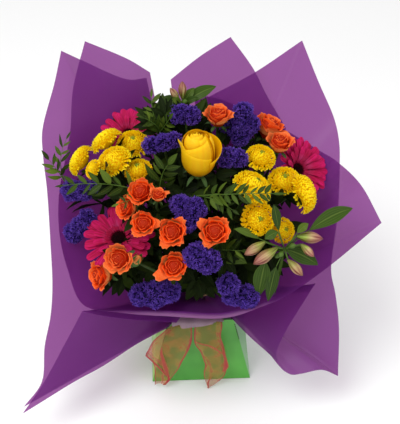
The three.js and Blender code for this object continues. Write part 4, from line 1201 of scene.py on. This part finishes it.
neck = film["ring"] + 3 * film["ringStep"]
ribbon = {"flat": (0.06, 0.32), "height": 120.8, "front": -neck - 5, "collar": 0.8, "band": 7, "cols": 30,
          "steps": 7, "knotHalf": 6.5, "knotDeep": 4.3, "knotHigh": 3.4}
ribbonStrips = {  # stations of x, y, z, half-width across X and half-width up Z, then folds and their depth
    "tail_left": {
        "line": [(-2, -29.6, 120.8), (-16, -60, 123), (-28.5, -83, 120.7), (-35.9, -88, 108.8),
                 (-43.3, -91, 95.3), (-50.1, -93, 77.9), (-55, -94, 65.3), (-53.3, -95, 55.3),
                 (-53.6, -96, 42.5), (-57.9, -98, 26.7), (-62.6, -99, 10.1)],
        "half": [(5, 0), (13, 0), (16.4, 0), (23.8, -0.3), (30.1, -1.1), (31.6, -1.1), (31, -1.6),
                 (24.2, -2.7), (19.6, -2.2), (14.9, 0), (10.4, 1.7)],
        "folds": 3.4, "deep": 1.6,
    },
    "tail_right": {
        "line": [(2, -29.6, 120.8), (8, -60, 123), (13.3, -83, 123.8), (11.6, -89, 105.1),
                 (14.7, -92, 89.2), (20.6, -93, 71.4), (24.3, -94, 55.6), (25.6, -95, 42.6),
                 (22.2, -97, 27.9), (16.5, -98, 14.2), (13.5, -99, 0.9)],
        "half": [(5, 0), (14, 1), (21.4, 3.1), (21, 0), (22.9, -2.6), (20.3, -3.3), (19.2, -3.3),
                 (17.5, -3.3), (16.2, -4.5), (9, -5.7), (1.2, -0.5)],
        "folds": 3, "deep": 1.6,
    },
    "flap_left": {  # creases where the tails are folded over
        "line": [(-86, -96.6, 71), (-70, -98, 52), (-56, -99, 32), (-50, -100, 22), (-58, -100.4, 9)],
        "half": [(1, 1), (1.2, 1.2), (1.6, 1), (2, 0), (3, 0)], "folds": 0, "deep": 0, "dense": 0.9,
    },
    "fold_left": {
        "line": [(-60, -96, 88), (-61, -97, 76), (-58, -98, 60), (-54, -99, 40), (-50, -100, 24)],
        "half": [(1, 0), (2.5, 0), (4, 0), (4, 0), (2, 0)], "folds": 0, "deep": 0, "dense": 0.55,
    },
    "fold_right": {
        "line": [(-8, -94.5, 98), (2, -95.5, 94), (15, -96, 90), (27, -96.4, 82), (37, -96.8, 73)],
        "half": [(0, 0.8), (0, 1.6), (0, 2), (0, 2.2), (0, 1.4)], "folds": 0, "deep": 0, "dense": 0.45,
    },
    "side_right": {
        "line": [(34, -94.6, 88), (38, -95.4, 72), (41, -96.4, 56), (41, -97, 44), (37, -98, 36)],
        "half": [(1.2, 0), (2.2, 0), (3.4, 0), (4.5, 0), (2, 0)], "folds": 0, "deep": 0, "dense": 0.6,
    },
    "hem_right": {
        "line": [(37, -98, 42), (24, -99.4, 31), (14, -100.4, 18), (13, -101, 2)],
        "half": [(0.8, 0.8), (1, 1), (1.4, 0.6), (1, 0)], "folds": 0, "deep": 0, "dense": 0.9,
    },
    "loop_left": {
        "line": [(-3, -29.6, 120.8), (-16, -39.6, 118.8), (-30, -50.6, 117.8), (-27, -56.6, 116.8),
                 (-12, -43.6, 116.8), (-2, -31.6, 118.8)],
        "half": [(0, 4), (0, 8), (0, 8), (0, 8), (0, 7), (0, 4)], "folds": 4, "deep": 0.8,
    },
    "loop_right": {
        "line": [(3, -29.6, 120.8), (16, -39.6, 118.8), (30, -50.6, 117.8), (27, -56.6, 116.8),
                 (12, -43.6, 116.8), (2, -31.6, 118.8)],
        "half": [(0, 4), (0, 8), (0, 8), (0, 8), (0, 7), (0, 4)], "folds": 4, "deep": 0.8,
    },
}
tongue = {"flat": (0.08, 0.11), "area": 0.0042,
          "line": [(0, -22, 127), (0, -44, 133), (-3, -72, 138), (-3, -92, 138), (-3, -99, 130)],
          "half": [6, 15, 32, 40, 40], "cols": 60, "rows": 34, "steps": 8,
          "torn": [(-1, 0.7), (-0.96, 0.77), (-0.68, 0.47), (-0.66, 1), (-0.1, 0.85), (0.58, 0.41),
                   (0.6, 0.17), (0.68, 0.15), (0.7, 0), (1, 0)]}  # what is left of its end, across it


def organzaMaterial():
    # sheer woven organza: lets the card show through, crimson where it is edged or folded together
    material, tree = newMaterial("sheer organza ribbon")
    place = addNode(tree, "TexCoord").outputs["Object"]
    dense = addNode(tree, "Attribute", {"attribute_name": "tone"})
    # crumples of 14 mm, and a weave of 0.7 mm
    cloud = addNode(tree, "TexNoise", {"Scale": 1 / (14 * mm), "Detail": 3.0}, {"Vector": place})
    threads = addNode(tree, "TexNoise", {"Scale": 1 / (0.7 * mm), "Detail": 1.0}, {"Vector": place})
    crumple = addNode(tree, "MapRange", {"From Min": 0.44, "From Max": 0.72, "To Max": 0.3},
                      {"Value": cloud})
    total = addNode(tree, "Math", {"operation": "ADD"}, {0: dense.outputs["Fac"], 1: crumple})
    stops = [(0, "#8c7240"), (0.16, "#b4763e"), (0.35, "#b04a40"), (1, "#98182f")]
    colour = addNode(tree, "ValToRGB", {"stops": stops}, {0: total})
    opaque = addNode(tree, "MapRange", {"To Min": 0.42, "To Max": 0.95}, {"Value": total})
    bump = addNode(tree, "Bump", {"Strength": 0.3, "Distance": 0.2 * mm}, {"Height": threads})
    cloth = addNode(tree, "BsdfPrincipled", {"Roughness": 0.5, "Specular IOR Level": 0.3},
                    {"Base Color": colour, "Normal": bump})
    clear = addNode(tree, "BsdfTransparent", {"Color": srgb("#ffe2de")})
    sheer = addNode(tree, "MixShader", None, {0: opaque, 1: clear, 2: cloth})
    addNode(tree, "OutputMaterial", None, {0: sheer})
    return material


def tongueMaterial():
    # ragged end of frosted film, dulled mauve by the layers behind it
    material, tree = newMaterial("torn frosted film")
    place = addNode(tree, "TexCoord").outputs["Object"]
    dots = addNode(tree, "TexVoronoi", {"Scale": 1 / (1.6 * mm)}, {"Vector": place})  # 1.6 mm embossing
    colour = addNode(tree, "ValToRGB", {"stops": [(0.1, "#8a7280"), (0.5, "#a48c9a")]},
                     {0: dots.outputs["Distance"]})
    skin = addNode(tree, "BsdfPrincipled", {"Roughness": 0.5}, {"Base Color": colour})
    clear = addNode(tree, "BsdfTransparent", {"Color": srgb("#e0c0d8")})
    both = addNode(tree, "MixShader", {0: 0.84}, {1: clear, 2: skin})
    addNode(tree, "OutputMaterial", None, {0: both})
    return material


def addStrip(bm, strip, cols, steps, fold):
    # a strip of ribbon or film along its line, with fold(u, v) giving its rise and how dense it looks
    line = splinePoints(strip["line"], steps)
    half = splinePoints([(x, 0, z) for x, z in strip["half"]], steps, even=True)
    last = len(line) - 1

    def shape(u, v):
        i = round(v * last)
        along = line[min(i + 1, last)] - line[max(i - 1, 0)]
        normal = along.cross(half[i]).normalized()
        return line[i] + half[i] * u + normal * fold(u, v)[0]
    addGrid(bm, cols, last, shape, lambda u, v: fold(u, v)[1])


def addBow(bm):
    for number, strip in enumerate(ribbonStrips.values()):
        def fold(u, v):
            if "dense" in strip:
                return 0, strip["dense"] * (1 - smooth(abs(u), 0.3, 1))
            wave = u * strip["folds"] + number * 1.7 + 2.2 * math.sin(v * 4 + number) + v * 1.5
            rise = strip["deep"] * math.sin(wave) * smooth(v, 0, 0.25)
            pinch = smooth(math.cos(wave), 0.8, 1) * 0.2
            edge = smooth(abs(u), 0.9, 0.96) * 0.9
            return rise, max(edge, pinch * smooth(v, 0, 0.3))
        addStrip(bm, strip, ribbon["cols"], ribbon["steps"], fold)

    def collar(u, v):
        a = (u + 1) * math.pi
        return polar(a, neck + ribbon["collar"] + 0.4 * math.sin(a * 9),
                     ribbon["height"] + (v - 0.5) * ribbon["band"])
    addGrid(bm, 60, 4, collar, 0.3)


def addKnot(bm):
    def knot(u, v):
        a = (u + 1) * math.pi
        r = math.sin(math.pi * lerp(0.04, 0.96, v)) ** 0.6 * (1 + 0.12 * math.sin(a * 5))
        return Vector((lerp(-ribbon["knotHalf"], ribbon["knotHalf"], v),
                       ribbon["front"] + 1 + math.cos(a) * ribbon["knotDeep"] * r,
                       ribbon["height"] + math.sin(a) * ribbon["knotHigh"] * r))
    addGrid(bm, 20, 10, knot, 0.6)


def addTongue(bm):
    line = splinePoints(tongue["line"], tongue["steps"])
    half = splinePoints([(x, 0, 0) for x in tongue["half"]], tongue["steps"], even=True)

    def ragged(u, v):
        a, b = next((a, b) for a, b in zip(tongue["torn"], tongue["torn"][1:]) if a[0] <= u <= b[0])
        kept = lerp(b[1], a[1], (b[0] - u) / (b[0] - a[0]))
        place = v * (len(tongue["half"]) - 2 + kept) * tongue["steps"]
        i = min(int(place), len(line) - 2)
        at = line[i].lerp(line[i + 1], place - i)
        return at + half[i].lerp(half[i + 1], place - i) * u + up * 0.5 * math.sin(u * 9 + v * 3)
    addGrid(bm, tongue["cols"], tongue["rows"], ragged)


def makeRibbon():
    organza = organzaMaterial()
    bm = newBody()
    addBow(bm)
    print("ribbon area", round(sum(f.calc_area() for f in bm.faces) * mm * mm, 4))
    cloth = settle(bm, "ribbon", [organza], ["ribbon_bow"])
    bm = newBody()
    addKnot(bm)
    knotted = settle(bm, "ribbon_knot", [organza], ["ribbon_bow"], sewn=True)
    bm = newBody()
    addTongue(bm)
    print("tongue area", round(sum(f.calc_area() for f in bm.faces) * mm * mm, 5))
    flap = settle(bm, "film_flap", [tongueMaterial()], ["film_tongue"])


makeRibbon()
print("ribbon and tongue ready")


# Vase, water bag and twine

waterBag = {"profile": [(0, 1.5), (58, 1.5), (66, 12), (66, 70), (40.9, 88), (30, 92), (26, 92), (26, 18),
                        (0, 18)], "sectors": 48, "crease": 0.02}
twine = {"inner": 17.3, "strand": 0.8, "turns": 5, "steps": 24, "low": 124.6, "high": 131.4}
vase = {"turned": 3, "bend": 8, "round": 0.5, "raised": 5, "raisedFrom": (100, 112),
        "scoreLow": (80, -80, 0), "scoreHigh": (52, -69, 114), "teeth": 9, "firstTooth": 0.72,
        "toothStep": 0.03, "tooth": (1.6, 0.5, 1.8)}


def cardMaterial(name, dark, light):
    # coated board: bright green print with a faint fibre and a soft gloss; paler copies of it give its folded
    # corners painted light and painted shade
    material, tree = newMaterial(name)
    place = addNode(tree, "TexCoord").outputs["Object"]
    # unevenness of the print over 55 mm, and paper fibres of 0.8 mm
    patch = addNode(tree, "TexNoise", {"Scale": 1 / (55 * mm), "Detail": 2.0}, {"Vector": place})
    fibre = addNode(tree, "TexNoise", {"Scale": 1 / (0.8 * mm), "Detail": 2.0}, {"Vector": place})
    green = addNode(tree, "ValToRGB", {"stops": [(0.3, dark), (0.7, light)]}, {0: patch})
    bump = addNode(tree, "Bump", {"Strength": 0.08, "Distance": 0.1 * mm}, {"Height": fibre})
    skin = addNode(tree, "BsdfPrincipled", {"Roughness": 0.4, "Specular IOR Level": 0.5},
                   {"Base Color": green, "Normal": bump})
    addNode(tree, "OutputMaterial", None, {0: skin})
    return material


def waterMaterial():
    # water in a clear thin bag: almost nothing but the wet highlights
    material, tree = newMaterial("water in a clear bag")
    clear = addNode(tree, "BsdfTransparent", {"Color": srgb("#e6f2f0")})
    wet = addNode(tree, "BsdfPrincipled", {"Base Color": srgb("#dcebe8"), "Roughness": 0.06})
    both = addNode(tree, "MixShader", {0: 0.3}, {1: clear, 2: wet})
    addNode(tree, "OutputMaterial", None, {0: both})
    return material


def raffiaMaterial():
    # dry raffia: straw colour, fine long fibres
    material, tree = newMaterial("raffia")
    place = addNode(tree, "TexCoord").outputs["Object"]
    fibre = addNode(tree, "TexNoise", {"Scale": 1 / (1.5 * mm), "Detail": 3.0}, {"Vector": place})
    straw = addNode(tree, "ValToRGB", {"stops": [(0.3, "#9a8252"), (0.7, "#cbb682")]}, {0: fibre})
    skin = addNode(tree, "BsdfPrincipled", {"Roughness": 0.7}, {"Base Color": straw})
    addNode(tree, "OutputMaterial", None, {0: skin})
    return material


def makeVase():
    turned = Matrix.Rotation(math.radians(vase["turned"]), 4, "Z")
    bm = newBody()
    bm.from_mesh(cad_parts["card_vase"].data)
    bmesh.ops.transform(bm, matrix=Matrix.Scale(1 / mm, 4), verts=bm.verts)
    bmesh.ops.remove_doubles(bm, verts=bm.verts, dist=0.02)
    bmesh.ops.dissolve_limit(bm, angle_limit=math.radians(1), verts=bm.verts, edges=bm.edges)
    bend = math.radians(vase["bend"])
    sharp = [e for e in bm.edges if len(e.link_faces) == 2 and e.calc_face_angle() > bend]
    bmesh.ops.bevel(bm, geom=sharp, offset=vase["round"], affect="EDGES", segments=2, profile=0.5,
                    material=-1)
    bmesh.ops.recalc_face_normals(bm, faces=bm.faces)
    for vert in bm.verts:  # the rim goes in under the film
        vert.co.z += vase["raised"] * smooth(vert.co.z, *vase["raisedFrom"])
    for face in bm.faces:  # the sides of the corner folds are painted paler than the front: painted light on the left, painted shade on the right
        across = (turned.inverted() @ face.normal).x
        if face.normal.z < 0.6 and abs(across) > 0.35 and face.calc_center_median().z > 3:
            face.material_index = 1 if across > 0 else 2
    litAndShadedCards = [cardMaterial("coated green card", "#3f8f2f", "#55ab40"),
              cardMaterial("green card in shade", "#6c9a6c", "#86b084"),
              cardMaterial("green card in light", "#8cba5c", "#aad47c")]
    card = settle(bm, "card_box", litAndShadedCards, ["card_vase"], 0)
    card.data.shade_flat()
    bm = newBody()
    for side in (-1, 1):  # teeth of the score beside the corner folds, near the top
        mirrored = Matrix.Diagonal((side, 1, 1))
        low = mirrored @ Vector(vase["scoreLow"])
        high = mirrored @ Vector(vase["scoreHigh"])
        for k in range(vase["teeth"]):
            here = low.lerp(high, vase["firstTooth"] + vase["toothStep"] * k)
            here += Vector((side * 0.5, -0.55, 0))
            bmesh.ops.create_cube(bm, size=1, matrix=turned @ Matrix.Translation(here)
                                  @ Matrix.Diagonal((*vase["tooth"], 1)))
    cutEdge = plainMaterial("cut edge of card", {  # dark board that shows where the score is cut
        "Base Color": srgb("#25301f"), "Roughness": 0.8})
    settle(bm, "card_score", [cutEdge], ["card_vase"], 0)


def makeWaterBag():
    bm = newBody()
    profile = waterBag["profile"]
    last = len(profile) - 1

    def shape(u, v):
        i = min(int(v * last), last - 1)
        r, z = (lerp(profile[i][c], profile[i + 1][c], v * last - i) for c in (0, 1))
        a = (u + 1) * math.pi
        crease = 1 + waterBag["crease"] * math.sin(a * 7 + z * 0.05) * smooth(r, 24, 60)
        return polar(a, r * crease, z)
    addGrid(bm, waterBag["sectors"], last * 3, shape)
    bmesh.ops.remove_doubles(bm, verts=bm.verts, dist=0.01)
    bmesh.ops.recalc_face_normals(bm, faces=bm.faces)
    settle(bm, "bag_of_water", [waterMaterial()], ["water_bag"], 0)


def makeTwine():
    bm = newBody()
    count = twine["turns"] * twine["steps"]
    reach = twine["inner"] + twine["strand"]
    route = [(polar(k / twine["steps"] * math.tau, reach, lerp(twine["low"], twine["high"], k / count)),
              twine["strand"]) for k in range(count + 1)]
    addTubes(bm, [route])
    settle(bm, "raffia_tie", [raffiaMaterial()], ["binding_twine"])


makeVase()
makeWaterBag()
makeTwine()
print("vase, water bag and tie ready")
